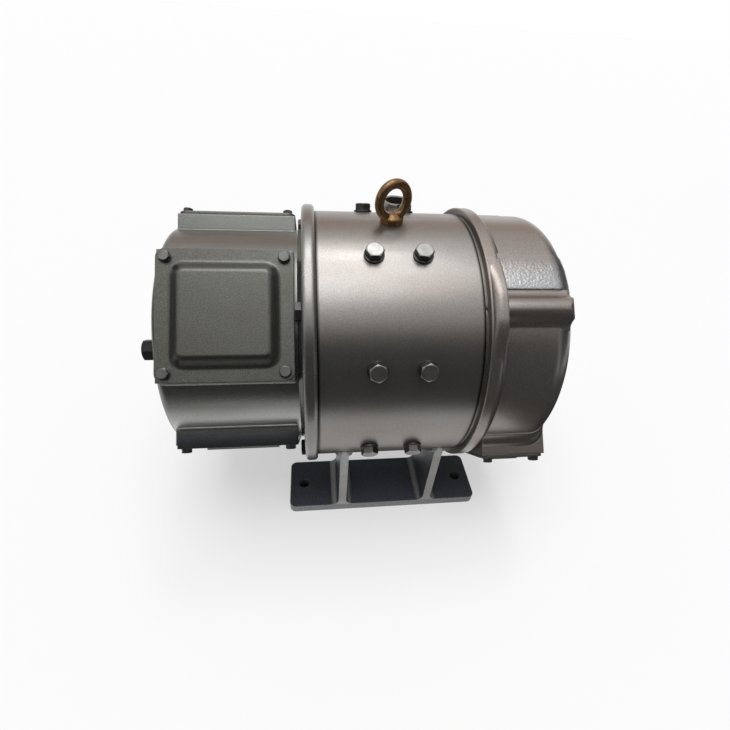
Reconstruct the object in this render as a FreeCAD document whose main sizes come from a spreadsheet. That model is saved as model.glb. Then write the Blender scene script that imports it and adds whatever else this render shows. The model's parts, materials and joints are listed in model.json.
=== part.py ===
"""Foot-mounted drip-proof dc motor: welded frame with poles, two cast end shields, brush gear, armature.

The origin is the centre of the foot bolt pattern on the base, +Z is up and +X runs along the shaft towards
the drive end. Angles round the shaft start at the top (+Z) and are positive towards the -Y side.
"""
import FreeCAD, Part
import Sketcher
import math
import os
from FreeCAD import Placement, Rotation, Vector

sizes = {
    # Frame: yoke ring on two feet
    "shaft_height": 200,
    "yoke_radius": 150,
    "yoke_wall": 21,
    "yoke_length": 166,
    "yoke_centre": -6,
    "foot_length": 254,
    "foot_width": 72,
    "foot_thickness": 12,
    "foot_hole_radius": 7.25,
    "foot_hole_spacing_along": 216,
    "foot_hole_spacing_across": 186,
    "foot_corner_radius": 8,
    "rib_spacing": 115,
    "rib_thickness": 10,
    "rib_flare": 9,
    "weld_gap": 0.05,
    # Poles, coils and the bolts that hold them
    "pole_row_angle": 22.5,
    "pole_bolt_spacing": 50,
    "air_gap": 2,
    "pole_length": 110,
    "pole_width": 50,
    "shoe_thickness": 9,
    "shoe_arc": 54,
    "interpole_width": 16,
    "interpole_gap": 3,
    "coil_clearance": 0.5,
    "main_coil_width": 20,
    "main_coil_base": 95,
    "main_coil_height": 24,
    "interpole_coil_width": 11,
    "interpole_coil_base": 90,
    "interpole_coil_height": 26,
    "coil_corner_radius": 9,
    # Fasteners
    "pole_bolt_radius": 5,
    "pole_bolt_flats": 17,
    "pole_bolt_head": 6.4,
    "pole_bolt_reach": 14,
    "washer_radius": 10,
    "washer_thickness": 2,
    "cover_screw_radius": 3,
    "cover_screw_flats": 10,
    "cover_screw_head": 4.2,
    "cover_screw_reach": 10,
    "cover_washer_radius": 6,
    "cover_washer_thickness": 1.2,
    "cap_screw_radius": 3,
    "cap_screw_flats": 10,
    "cap_screw_head": 4.2,
    "thread_clearance": 0.05,
    "hole_clearance": 0.5,
    "screw_tip": 1,
    "cut_overrun": 1,
    # End shield seats shared by both ends
    "flange_radius": 157,
    "flange_edge_radius": 4.5,
    "spigot_depth": 5,
    "spigot_clearance": 0.05,
    "shield_bolt_circle": 142,
    "shield_bolt_thread": 18,
    "window_angle": 45,
    "gasket_thickness": 1,
    "cover_sheet": 2.5,
    "cover_corner_radius": 9,
    # Commutator-end shield
    "comm_flange_thickness": 14,
    "comm_drum_radius": 128,
    "comm_drum_wall": 10,
    "comm_drum_length": 143.5,
    "comm_end_wall": 11,
    "comm_hub_radius": 52,
    "comm_hub_length": 29.5,
    "comm_edge_radius": 8,
    "comm_pad_distance": 128.5,
    "comm_pad_width": 129,
    "comm_pad_length": 129.5,
    "comm_pad_setback": 7.5,
    "comm_window_width": 92,
    "comm_window_length": 92,
    "comm_screw_across": 112,
    "comm_screw_along": 112,
    "emboss_width": 104,
    "emboss_length": 104,
    "emboss_height": 9,
    "emboss_slope": 45,
    "emboss_corner_radius": 12,
    # Drive-end shield
    "drive_flange_thickness": 18,
    "drive_drum_radius": 149,
    "drive_drum_wall": 14,
    "drive_drum_length": 83,
    "drive_end_wall": 12,
    "drive_hub_radius": 64,
    "drive_hub_length": 37,
    "drive_edge_radius": 26,
    "drive_pad_distance": 153,
    "drive_pad_width": 135,
    "drive_pad_setback": 4,
    "drive_pad_inset": 4,
    "drive_window_width": 100,
    "drive_window_length": 42,
    "drive_screw_across": 117,
    "drive_screw_along": 56,
    "ear_radius": 12,
    "ear_centre": 151,
    "ear_flank": 12,
    "ear_sink": 0.5,
    "ear_length": 71,
    "ear_end_radius": 9,
    "drive_groove_width": 3,
    "drive_groove_radius": 148,
    "ear_head_recess": 16,
    "ear_recess_radius": 10.5,
    "ear_boss_radius": 14,
    "ear_boss_length": 28,
    # Louvres of the air inlet and outlet covers
    "comm_louvre_length": 82,
    "drive_louvre_length": 38,
    "louvre_pitch": 15,
    "louvre_rise": 6,
    "louvre_depth": 10,
    "comm_louvre_count": 5,
    "drive_louvre_count": 6,
    # Bearings, seal and caps
    "comm_bearing_bore": 17.5,
    "comm_bearing_radius": 40,
    "comm_bearing_width": 21,
    "comm_bearing_inset": 6.5,
    "comm_ball_radius": 6.75,
    "drive_bearing_bore": 22.5,
    "drive_bearing_radius": 50,
    "drive_bearing_width": 25,
    "drive_bearing_inset": 8,
    "drive_ball_radius": 8.7,
    "ball_count": 8,
    "ball_clearance": 0.05,
    "race_shoulder": 0.45,
    "cage_thickness": 4,
    "cage_rim": 1.6,
    "bearing_seat_clearance": 0.02,
    "spring_thickness": 1.5,
    "comm_cap_thickness": 9,
    "drive_cap_thickness": 10,
    "inner_cap_thickness": 7,
    "cap_shaft_clearance": 0.5,
    "cap_recess": 5,
    "cap_rim": 6,
    "comm_cap_screw_circle": 46,
    "drive_cap_screw_circle": 57,
    "felt_radius": 29,
    "felt_thickness": 5,
    "felt_clearance": 0.05,
    # Shaft, armature and commutator
    "comm_seat_radius": 21,
    "core_seat_radius": 25,
    "fan_seat_radius": 24,
    "seal_seat_radius": 21,
    "extension_radius": 14,
    "extension_length": 60,
    "extension_chamfer": 1.5,
    "key_width": 8,
    "key_depth": 4,
    "keyway_length": 45,
    "keyway_end": 7,
    "keyway_angle": 36,
    "shaft_tail": 3,
    "armature_radius": 81,
    "slot_count": 28,
    "slot_width": 8,
    "slot_depth": 22,
    "slot_mouth": 3,
    "slot_lip": 2.5,
    "slot_clearance": 0.3,
    "vent_count": 8,
    "vent_radius": 7,
    "vent_circle": 43,
    "end_winding_length": 34,
    "end_winding_drop": 4,
    "end_winding_depth": 24,
    "commutator_radius": 62.5,
    "commutator_bar_height": 17,
    "commutator_length": 58,
    "commutator_start": -180,
    "riser_radius": 72,
    "riser_thickness": 8,
    "bar_count": 56,
    "bar_slit": 0.9,
    "bar_undercut": 1.2,
    # Cooling fan
    "fan_start": 94,
    "fan_hub_radius": 38,
    "fan_hub_length": 22,
    "fan_plate": 3,
    "fan_radius": 128,
    "fan_blade_inner": 74,
    "fan_blade_width": 34,
    "fan_blade_thickness": 3,
    "fan_blade_count": 12,
    # Brush gear
    "rocker_thickness": 10,
    "rocker_gap": 1.5,
    "rocker_radius": 115,
    "rocker_seat_clearance": 0.05,
    "rocker_slot_width": 30,
    "rocker_slot_centre": 80,
    "rocker_slot_length": 44,
    "brush_width": 12.5,
    "brush_length": 32,
    "brush_height": 30,
    "brush_gap": 0.3,
    "brush_clearance": 0.15,
    "holder_wall": 3,
    "holder_base": 67,
    "holder_height": 24,
    "arm_radius": 7,
    "arm_offset": 20,
    "arm_distance": 80,
    "spring_roll_radius": 6,
    "spring_roll_length": 20,
    "spring_strip": 2,
    "lock_bolt_radius": 6,
    "lock_bolt_flats": 19,
    "lock_bolt_head": 12.5,
    "lock_bolt_circle": 107,
    "lock_bolt_angle": 61,
    # Terminal box on the far side, with its cable entry
    "box_centre": 34,
    "box_length": 120,
    "box_height": 128,
    "box_base": -54,
    "box_back": 162,
    "box_depth": 54,
    "box_wall": 6,
    "box_corner_radius": 10,
    "box_post": 22,
    "neck_length": 84,
    "neck_height": 80,
    "lid_thickness": 5,
    "terminal_gasket_rim": 15,
    "lid_screw_inset": 10,
    "lead_hole_radius": 13,
    "board_thickness": 8,
    "board_length": 76,
    "board_height": 48,
    "board_drop": 36,
    "stud_radius": 4,
    "stud_length": 26,
    "stud_spacing": 20,
    "stud_count": 4,
    "stud_nut_flats": 13,
    "stud_nut_height": 6.5,
    "hub_along": 34,
    "hub_top_radius": 21,
    "hub_base_radius": 26,
    "hub_height": 34,
    "hub_foot": 5,
    "hub_bore": 16,
    # Lifting eye
    "eye_ring_radius": 17.5,
    "eye_ring_section": 5,
    "eye_collar_radius": 12.5,
    "eye_collar_height": 6,
    "eye_neck_height": 4,
    "eye_neck_step": 2,
    "eye_neck_radius": 6.5,
    "eye_thread_radius": 5,
    "eye_thread_length": 16,
    "eye_turn": 25,
}


class Size:
    """A number together with the expression that gives it in the document."""

    def __init__(self, value, text):
        self.value = value
        self.text = text

    def __add__(self, other):
        other = as_size(other)
        return Size(self.value + other.value, f"({self.text} + {other.text})")

    def __radd__(self, other):
        return as_size(other) + self

    def __sub__(self, other):
        other = as_size(other)
        return Size(self.value - other.value, f"({self.text} - {other.text})")

    def __rsub__(self, other):
        return as_size(other) - self

    def __mul__(self, other):
        other = as_size(other)
        return Size(self.value * other.value, f"({self.text} * {other.text})")

    def __rmul__(self, other):
        return as_size(other) * self

    def __truediv__(self, other):
        other = as_size(other)
        return Size(self.value / other.value, f"({self.text} / {other.text})")

    def __neg__(self):
        return 0 - self


class SizeTable:
    """Gives each sheet cell by its alias."""

    def __getattr__(self, alias):
        return Size(float(sizes[alias]), "Sizes." + alias)


def as_size(number):
    return number if isinstance(number, Size) else Size(number, repr(number))


def sine(angle):
    return Size(math.sin(math.radians(angle.value)), f"sin({angle.text})")


def cosine(angle):
    return Size(math.cos(math.radians(angle.value)), f"cos({angle.text})")


def tangent(angle):
    return Size(math.tan(math.radians(angle.value)), f"tan({angle.text})")


def square_root(number):
    return Size(math.sqrt(number.value), f"sqrt({number.text})")


doc = FreeCAD.newDocument("dc_motor")
sheet = doc.addObject("Spreadsheet::Sheet", "Sizes")
for row, (alias, number) in enumerate(sizes.items(), start=1):
    sheet.set(f"A{row}", alias)
    sheet.set(f"B{row}", str(number))
    sheet.setAlias(f"B{row}", alias)
doc.recompute()
s = SizeTable()
sub_parts = []


def bind(target, path, number):
    target.setExpression(path, as_size(number).text)


def new_body(label, on_shaft=True):
    """A body whose own X axis is the shaft's axis, unless it stands on the base frame."""
    body = doc.addObject("PartDesign::Body", label)
    body.AllowCompound = True
    if on_shaft:
        bind(body, "Placement.Base.z", s.shaft_height)
    return body


def part_done(obj):
    sub_parts.append(obj)
    return obj


def origin_feature(body, role):
    return next(item for item in body.Origin.OriginFeatures if item.Role == role)


def sketch_on(body, role, offset=0, tilt=0):
    """An empty sketch on an origin plane, raised along its normal, or tilted round X from the XY plane."""
    sketch = body.newObject("Sketcher::SketchObject", "Sketch")
    sketch.AttachmentSupport = [(origin_feature(body, role), "")]
    sketch.MapMode = "FlatFace"
    offset, tilt = as_size(offset), as_size(tilt)
    if tilt.value:
        sketch.AttachmentOffset = Placement(Vector(), Rotation(Vector(1, 0, 0), tilt.value))
        bind(sketch, "AttachmentOffset.Rotation.Angle", tilt)
        bind(sketch, "AttachmentOffset.Base.y", -(offset * sine(tilt)))
        bind(sketch, "AttachmentOffset.Base.z", offset * cosine(tilt))
    else:
        bind(sketch, "AttachmentOffset.Base.z", offset)
    return sketch


def constrain(sketch, kind, *where_and_size):
    *where, number = where_and_size
    number = as_size(number)
    index = sketch.addConstraint(Sketcher.Constraint(kind, *where, number.value))
    bind(sketch, f"Constraints[{index}]", number)


def arc_between(start, end, radius):
    """The short arc between two places: anticlockwise for a positive radius, clockwise for a negative one."""
    chord = end - start
    rise = math.sqrt(radius ** 2 - (chord.Length / 2) ** 2)
    left = Vector(-chord.y, chord.x, 0).normalize()
    centre = start + chord * 0.5 + left * math.copysign(rise, radius)
    first, last = (start, end) if radius > 0 else (end, start)
    angles = [math.atan2(place.y - centre.y, place.x - centre.x) for place in (first, last)]
    return Part.ArcOfCircle(Part.Circle(centre, Vector(0, 0, 1), abs(radius)), *angles)


def draw_outline(sketch, points):
    """A closed outline through the points, each held by its two coordinates.

    A third item on a point is the radius of the arc to the next one, negative if it runs clockwise.
    """
    points = [tuple(as_size(item) for item in point) for point in points]
    places = [Vector(point[0].value, point[1].value, 0) for point in points]
    first = sketch.GeometryCount
    count = len(points)
    ends = []
    for index, point in enumerate(points):
        start, end = places[index], places[(index + 1) % count]
        clockwise = len(point) == 3 and point[2].value < 0
        ends.append((2, 1) if clockwise else (1, 2))
        if len(point) == 3:
            sketch.addGeometry(arc_between(start, end, point[2].value))
        else:
            sketch.addGeometry(Part.LineSegment(start, end))
    for index in range(count):
        following = (index + 1) % count
        sketch.addConstraint(Sketcher.Constraint(
            "Coincident", first + index, ends[index][1], first + following, ends[following][0]))
    for index, point in enumerate(points):
        constrain(sketch, "DistanceX", first + index, ends[index][0], point[0])
        constrain(sketch, "DistanceY", first + index, ends[index][0], point[1])
        if len(point) == 3:
            constrain(sketch, "Radius", first + index, point[2] if point[2].value > 0 else -point[2])


def draw_rectangle(sketch, centre_u, centre_v, width, height):
    low_u, high_u = centre_u - width / 2, centre_u + width / 2
    low_v, high_v = centre_v - height / 2, centre_v + height / 2
    draw_outline(sketch, [(low_u, low_v), (high_u, low_v), (high_u, high_v), (low_u, high_v)])


def draw_rounded(sketch, centre_u, centre_v, width, height, radius):
    """A rectangle with rounded corners."""
    low_u, high_u = centre_u - width / 2, centre_u + width / 2
    low_v, high_v = centre_v - height / 2, centre_v + height / 2
    draw_outline(sketch, [
        (low_u + radius, low_v), (high_u - radius, low_v, radius), (high_u, low_v + radius),
        (high_u, high_v - radius, radius), (high_u - radius, high_v), (low_u + radius, high_v, radius),
        (low_u, high_v - radius), (low_u, low_v + radius, radius)])


def draw_circle(sketch, centre_u, centre_v, radius):
    centre_u, centre_v = as_size(centre_u), as_size(centre_v)
    circle = Part.Circle(Vector(centre_u.value, centre_v.value, 0), Vector(0, 0, 1), radius.value)
    index = sketch.addGeometry(circle)
    constrain(sketch, "DistanceX", index, 3, centre_u)
    constrain(sketch, "DistanceY", index, 3, centre_v)
    constrain(sketch, "Radius", index, radius)


def draw_hexagon(sketch, centre_u, centre_v, flats):
    corner = flats / math.sqrt(3)
    half = flats / 2
    draw_outline(sketch, [
        (centre_u + corner, centre_v), (centre_u + corner / 2, centre_v + half),
        (centre_u - corner / 2, centre_v + half), (centre_u - corner, centre_v),
        (centre_u - corner / 2, centre_v - half), (centre_u + corner / 2, centre_v - half)])


def draw_corners(sketch, centre_u, centre_v, across_u, across_v, radius):
    """Four circles at the corners of a rectangle."""
    for side_u in (-0.5, 0.5):
        for side_v in (-0.5, 0.5):
            draw_circle(sketch, centre_u + across_u * side_u, centre_v + across_v * side_v, radius)


def turn(body, points, angle=360, cut=False):
    """Turns an outline of (along the shaft, radius) points about the shaft's axis."""
    sketch = sketch_on(body, "XZ_Plane")
    draw_outline(sketch, points)
    feature = body.newObject("PartDesign::Groove" if cut else "PartDesign::Revolution", "Turned")
    feature.Profile = sketch
    feature.ReferenceAxis = (sketch, ["H_Axis"])
    feature.Midplane = True
    bind(feature, "Angle", angle)
    return feature


def turn_circle(body, along, distance, radius):
    """Cuts a ring-shaped groove of round section about the shaft's axis."""
    sketch = sketch_on(body, "XZ_Plane")
    draw_circle(sketch, along, distance, radius)
    feature = body.newObject("PartDesign::Groove", "Track")
    feature.Profile = sketch
    feature.ReferenceAxis = (sketch, ["H_Axis"])
    feature.Angle = 360
    return feature


def raise_pad(body, sketch, length, symmetric=False, taper=None):
    pad = body.newObject("PartDesign::Pad", "Pad")
    pad.Profile = sketch
    bind(pad, "Length", length)
    if symmetric:
        pad.SideType = "Symmetric"
    if taper is not None:
        bind(pad, "TaperAngle", taper)
    return pad


def sink_pocket(body, sketch, length, outward=True, taper=None):
    """Cuts along the sketch's normal, or against it when not outward."""
    pocket = body.newObject("PartDesign::Pocket", "Pocket")
    pocket.Profile = sketch
    pocket.Reversed = outward
    bind(pocket, "Length", length)
    if taper is not None:
        bind(pocket, "TaperAngle", taper)
    return pocket


def repeat_round(body, features, count):
    pattern = body.newObject("PartDesign::PolarPattern", "Round")
    pattern.Originals = features
    pattern.Axis = (origin_feature(body, "X_Axis"), [""])
    pattern.Angle = 360
    bind(pattern, "Occurrences", count)
    body.Tip = pattern
    return pattern


def turned_part(label, points):
    body = new_body(label)
    turn(body, points)
    return part_done(body)


def ring(left, right, inner, outer):
    return [(left, inner), (right, inner), (right, outer), (left, outer)]


def copies(label, master, placements):
    """One sub-part made of equal separate pieces, each a placed copy of a master piece."""
    doc.recompute()
    group = doc.addObject("Part::Feature", label)
    pieces = [solid.copy() for solid in master.Shape.Solids]
    placed = [piece.transformed(place.toMatrix(), True) for place in placements for piece in pieces]
    group.Shape = Part.makeCompound(placed)
    return part_done(group)


def about_shaft(angle):
    """Turns a piece drawn about the shaft's axis by an angle, on the axis at its height."""
    height = Placement(Vector(0, 0, s.shaft_height.value), Rotation())
    return height * Placement(Vector(), Rotation(Vector(1, 0, 0), angle))


def hex_bolt(label, flats, head, radius, reach, washer_radius=None, washer_thickness=None):
    """A bolt pointing down -Z with its seat at the origin: washer, hexagon head and shank."""
    body = new_body(label, on_shaft=False)
    seat = as_size(0)
    if washer_radius is not None:
        sketch = sketch_on(body, "XY_Plane")
        draw_circle(sketch, 0, 0, washer_radius)
        raise_pad(body, sketch, washer_thickness)
        seat = washer_thickness
    sketch = sketch_on(body, "XY_Plane", seat)
    draw_hexagon(sketch, as_size(0), as_size(0), flats)
    raise_pad(body, sketch, head)
    sketch = sketch_on(body, "XY_Plane", -reach)
    draw_circle(sketch, 0, 0, radius)
    raise_pad(body, sketch, reach + seat + head / 2)
    return body


# Places along the shaft that several pieces share
yoke_left = s.yoke_centre - s.yoke_length / 2
yoke_right = s.yoke_centre + s.yoke_length / 2
yoke_bore = s.yoke_radius - s.yoke_wall
spigot_radius = yoke_bore - s.spigot_clearance
flange_shoulder = s.flange_radius - s.flange_edge_radius
pole_left = s.yoke_centre - s.pole_length / 2
pole_right = s.yoke_centre + s.pole_length / 2
shoe_radius = s.armature_radius + s.air_gap
shell = s.gasket_thickness + s.cover_sheet
comm_flange_left = yoke_left - s.comm_flange_thickness
comm_end = comm_flange_left - s.comm_drum_length
comm_inside = comm_end + s.comm_end_wall
comm_hub_face = comm_end + s.comm_hub_length
comm_bore = s.comm_drum_radius - s.comm_drum_wall
comm_pad_right = comm_flange_left - s.comm_pad_setback
comm_pad_middle = comm_pad_right - s.comm_pad_length / 2
comm_bearing_left = comm_end + s.comm_bearing_inset
comm_bearing_right = comm_bearing_left + s.comm_bearing_width
drive_flange_right = yoke_right + s.drive_flange_thickness
drive_end = drive_flange_right + s.drive_drum_length
ear_end = drive_flange_right + s.ear_length
ear_head_seat = ear_end - s.ear_head_recess
drive_inside = drive_end - s.drive_end_wall
drive_hub_face = drive_end - s.drive_hub_length
drive_bore = s.drive_drum_radius - s.drive_drum_wall
drive_pad_left = drive_flange_right + s.drive_pad_setback
drive_pad_length = drive_end - s.drive_pad_inset - drive_pad_left
drive_pad_middle = drive_pad_left + drive_pad_length / 2
drive_bearing_right = drive_end - s.drive_bearing_inset
drive_bearing_left = drive_bearing_right - s.drive_bearing_width
comm_cap_face = comm_end - s.comm_cap_thickness
drive_cap_face = drive_end + s.drive_cap_thickness
rocker_left = comm_inside + s.rocker_gap
rocker_right = rocker_left + s.rocker_thickness
commutator_end = s.commutator_start + s.commutator_length
brush_middle = s.commutator_start + s.commutator_length / 2
box_top = s.box_base + s.box_height
box_middle = s.box_back + s.box_depth / 2
board_centre = box_top - s.board_drop
lid_along = s.box_length - s.lid_screw_inset * 2
lid_across = s.box_height - s.lid_screw_inset * 2
pole_count = 4
pole_step = 360 / pole_count
window_lean = sizes["window_angle"]
ear_angles = (window_lean, -window_lean, 180)
main_angles = [pole_step * (number - 1) + sizes["pole_row_angle"] for number in range(pole_count)]
interpole_angles = [angle + pole_step / 2 for angle in main_angles]
row_angles = main_angles + interpole_angles
window_angles = [pole_step * number + window_lean for number in range(pole_count)]
upper_angles = [window_lean, -window_lean]
lower_angles = [180 - window_lean, 180 + window_lean]


def make_yoke():
    body = new_body("yoke")
    turn(body, ring(yoke_left, yoke_right, yoke_bore, s.yoke_radius))
    holes = sketch_on(body, "XY_Plane", tilt=s.pole_row_angle)
    for side in (-1, 1):
        along = s.yoke_centre + s.pole_bolt_spacing * (side / 2)
        draw_circle(holes, along, 0, s.pole_bolt_radius + s.hole_clearance)
    repeat_round(body, [sink_pocket(body, holes, s.yoke_radius + s.yoke_wall)], len(row_angles))
    eye = sketch_on(body, "XY_Plane")
    draw_circle(eye, s.yoke_centre, 0, s.eye_thread_radius + s.thread_clearance)
    sink_pocket(body, eye, s.yoke_radius + s.yoke_wall)
    leads = sketch_on(body, "XZ_Plane")
    draw_circle(leads, s.box_centre, 0, s.lead_hole_radius)
    sink_pocket(body, leads, s.yoke_radius + s.yoke_wall, outward=False)
    taps = sketch_on(body, "YZ_Plane", yoke_left)
    place = s.shield_bolt_circle * cosine(s.window_angle)
    draw_corners(taps, as_size(0), as_size(0), place * 2, place * 2, s.pole_bolt_radius + s.thread_clearance)
    sink_pocket(body, taps, s.shield_bolt_thread + s.screw_tip)
    taps = sketch_on(body, "YZ_Plane", yoke_right)
    for angle in ear_angles:
        draw_at_angle(taps, angle, s.shield_bolt_circle, s.pole_bolt_radius + s.thread_clearance)
    sink_pocket(body, taps, s.shield_bolt_thread + s.screw_tip, outward=False)
    part_done(body)


def draw_at_angle(sketch, angle, distance, radius):
    """A circle on a YZ sketch, at an angle from the top towards -Y and a distance from the axis."""
    angle = as_size(angle)
    draw_circle(sketch, -(distance * sine(angle)), distance * cosine(angle), radius)


def make_feet():
    plate = new_body("foot_plate_master", on_shaft=False)
    sketch = sketch_on(plate, "XY_Plane")
    draw_rounded(sketch, as_size(0), as_size(0), s.foot_length, s.foot_width, s.foot_corner_radius)
    raise_pad(plate, sketch, s.foot_thickness)
    holes = sketch_on(plate, "XY_Plane")
    for side in (-1, 1):
        draw_circle(holes, s.foot_hole_spacing_along * (side / 2), 0, s.foot_hole_radius)
    sink_pocket(plate, holes, s.foot_thickness)
    across = s.foot_hole_spacing_across.value / 2
    copies("foot_plates", plate, [Placement(Vector(0, side * across, 0), Rotation()) for side in (-1, 1)])
    rib = new_body("foot_rib_master", on_shaft=False)
    middle = sketch_on(rib, "XZ_Plane")
    top = s.shaft_height
    flare = s.rib_thickness / 2 + s.rib_flare
    base = s.foot_thickness
    half = s.rib_thickness / 2
    draw_outline(middle, [(-flare, base), (flare, base, -s.rib_flare), (half, base + s.rib_flare),
                          (half, top), (-half, top), (-half, base + s.rib_flare, -s.rib_flare)])
    raise_pad(rib, middle, s.foot_width, symmetric=True)
    saddle = sketch_on(rib, "YZ_Plane", -(flare + s.cut_overrun))
    draw_circle(saddle, s.foot_hole_spacing_across / 2, s.shaft_height, s.yoke_radius + s.weld_gap)
    sink_pocket(rib, saddle, (flare + s.cut_overrun) * 2)
    places = []
    for side in (-1, 1):
        for end in (-1, 1):
            spin = Rotation(Vector(0, 0, 1), 0 if side < 0 else 180)
            places.append(Placement(Vector(end * s.rib_spacing.value / 2, side * across, 0), spin))
    copies("foot_ribs", rib, places)


def make_poles():
    core = new_body("main_pole_master", on_shaft=False)
    turn(core, ring(pole_left, pole_right, shoe_radius, shoe_radius + s.shoe_thickness), s.shoe_arc)
    neck = sketch_on(core, "XY_Plane", shoe_radius + s.shoe_thickness / 4)
    draw_rectangle(neck, s.yoke_centre, as_size(0), s.pole_length, s.pole_width)
    raise_pad(core, neck, s.yoke_radius - shoe_radius)
    trim_to_bore(core)
    tap_pole(core)
    copies("main_pole_cores", core, [about_shaft(angle) for angle in main_angles])
    inner = new_body("interpole_master", on_shaft=False)
    neck = sketch_on(inner, "XY_Plane", s.armature_radius + s.interpole_gap)
    draw_rectangle(neck, s.yoke_centre, as_size(0), s.pole_length, s.interpole_width)
    raise_pad(inner, neck, s.yoke_radius - s.armature_radius)
    trim_to_bore(inner)
    tap_pole(inner)
    copies("interpole_cores", inner, [about_shaft(angle) for angle in interpole_angles])
    for label, width, base, height, depth, angles in (
            ("main_field_coils", s.pole_width, s.main_coil_base, s.main_coil_height, s.main_coil_width,
             main_angles),
            ("interpole_coils", s.interpole_width, s.interpole_coil_base, s.interpole_coil_height,
             s.interpole_coil_width, interpole_angles)):
        coil = new_body(label + "_master", on_shaft=False)
        sketch = sketch_on(coil, "XY_Plane", base)
        inside_along = s.pole_length + s.coil_clearance * 2
        inside_across = width + s.coil_clearance * 2
        draw_rounded(sketch, s.yoke_centre, as_size(0), inside_along + depth * 2, inside_across + depth * 2,
                     s.coil_corner_radius)
        raise_pad(coil, sketch, height)
        sketch = sketch_on(coil, "XY_Plane", base)
        draw_rectangle(sketch, s.yoke_centre, as_size(0), inside_along, inside_across)
        sink_pocket(coil, sketch, height)
        copies(label, coil, [about_shaft(angle) for angle in angles])


def trim_to_bore(core):
    """Rounds a pole's back to the yoke's bore."""
    along = ring(pole_left - s.cut_overrun, pole_right + s.cut_overrun, yoke_bore, s.yoke_radius * 2)
    turn(core, along, cut=True)


def tap_pole(core):
    """Blind threaded holes in a pole's back for its two bolts."""
    holes = sketch_on(core, "XY_Plane", yoke_bore - s.pole_bolt_reach - s.screw_tip)
    for side in (-1, 1):
        along = s.yoke_centre + s.pole_bolt_spacing * (side / 2)
        draw_circle(holes, along, 0, s.pole_bolt_radius + s.thread_clearance)
    sink_pocket(core, holes, s.yoke_radius)


def make_pole_bolts():
    reach = s.yoke_wall + s.pole_bolt_reach
    bolt = hex_bolt("pole_bolt_master", s.pole_bolt_flats, s.pole_bolt_head, s.pole_bolt_radius, reach,
                    s.washer_radius, s.washer_thickness)
    places = []
    for angle in row_angles:
        for side in (-1, 1):
            along = s.yoke_centre.value + side * s.pole_bolt_spacing.value / 2
            places.append(about_shaft(angle) * Placement(Vector(along, 0, s.yoke_radius.value), Rotation()))
    copies("pole_bolts", bolt, places)


def make_commutator_shield():
    body = new_body("commutator_end_shield")
    register = yoke_left + s.spigot_depth
    edge, rim = s.comm_edge_radius, s.flange_edge_radius
    turn(body, [
        (comm_end, 0), (comm_end, s.comm_drum_radius - edge, -edge), (comm_end + edge, s.comm_drum_radius),
        (comm_flange_left, s.comm_drum_radius),
        (comm_flange_left, flange_shoulder, -rim), (comm_flange_left + rim, s.flange_radius),
        (yoke_left - rim, s.flange_radius, -rim), (yoke_left, flange_shoulder), (yoke_left, spigot_radius),
        (register, spigot_radius), (register, 0)])
    sketch = sketch_on(body, "XY_Plane", tilt=s.window_angle)
    draw_rectangle(sketch, comm_pad_middle, as_size(0), s.comm_pad_length, s.comm_pad_width)
    repeat_round(body, [raise_pad(body, sketch, s.comm_pad_distance)], pole_count)
    seat = s.comm_bearing_radius + s.bearing_seat_clearance
    turn(body, [
        (register + s.cut_overrun, 0), (register + s.cut_overrun, comm_bore), (comm_inside, comm_bore),
        (comm_inside, s.comm_hub_radius), (comm_hub_face, s.comm_hub_radius), (comm_hub_face, seat),
        (comm_end - s.cut_overrun, seat), (comm_end - s.cut_overrun, 0)], cut=True)
    window = sketch_on(body, "XY_Plane", (s.comm_hub_radius + comm_bore) / 2, s.window_angle)
    draw_rectangle(window, comm_pad_middle, as_size(0), s.comm_window_length, s.comm_window_width)
    opening = sink_pocket(body, window, s.comm_drum_radius)
    taps = sketch_on(body, "XY_Plane", s.comm_pad_distance - s.cover_screw_reach, s.window_angle)
    draw_corners(taps, comm_pad_middle, as_size(0), s.comm_screw_along, s.comm_screw_across,
                 s.cover_screw_radius + s.thread_clearance)
    repeat_round(body, [opening, sink_pocket(body, taps, s.cover_screw_reach * 2)], pole_count)
    bolts = sketch_on(body, "YZ_Plane", comm_flange_left)
    place = s.shield_bolt_circle * cosine(s.window_angle)
    draw_corners(bolts, as_size(0), as_size(0), place * 2, place * 2, s.pole_bolt_radius + s.hole_clearance)
    sink_pocket(body, bolts, s.comm_flange_thickness)
    caps = sketch_on(body, "YZ_Plane", comm_end)
    place = s.comm_cap_screw_circle * cosine(s.window_angle)
    draw_corners(caps, as_size(0), as_size(0), place * 2, place * 2, s.cap_screw_radius + s.hole_clearance)
    sink_pocket(body, caps, s.comm_hub_length)
    lock = sketch_on(body, "YZ_Plane", comm_end)
    draw_at_angle(lock, s.lock_bolt_angle, s.lock_bolt_circle, s.lock_bolt_radius + s.thread_clearance)
    sink_pocket(body, lock, s.comm_end_wall)
    part_done(body)


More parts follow.
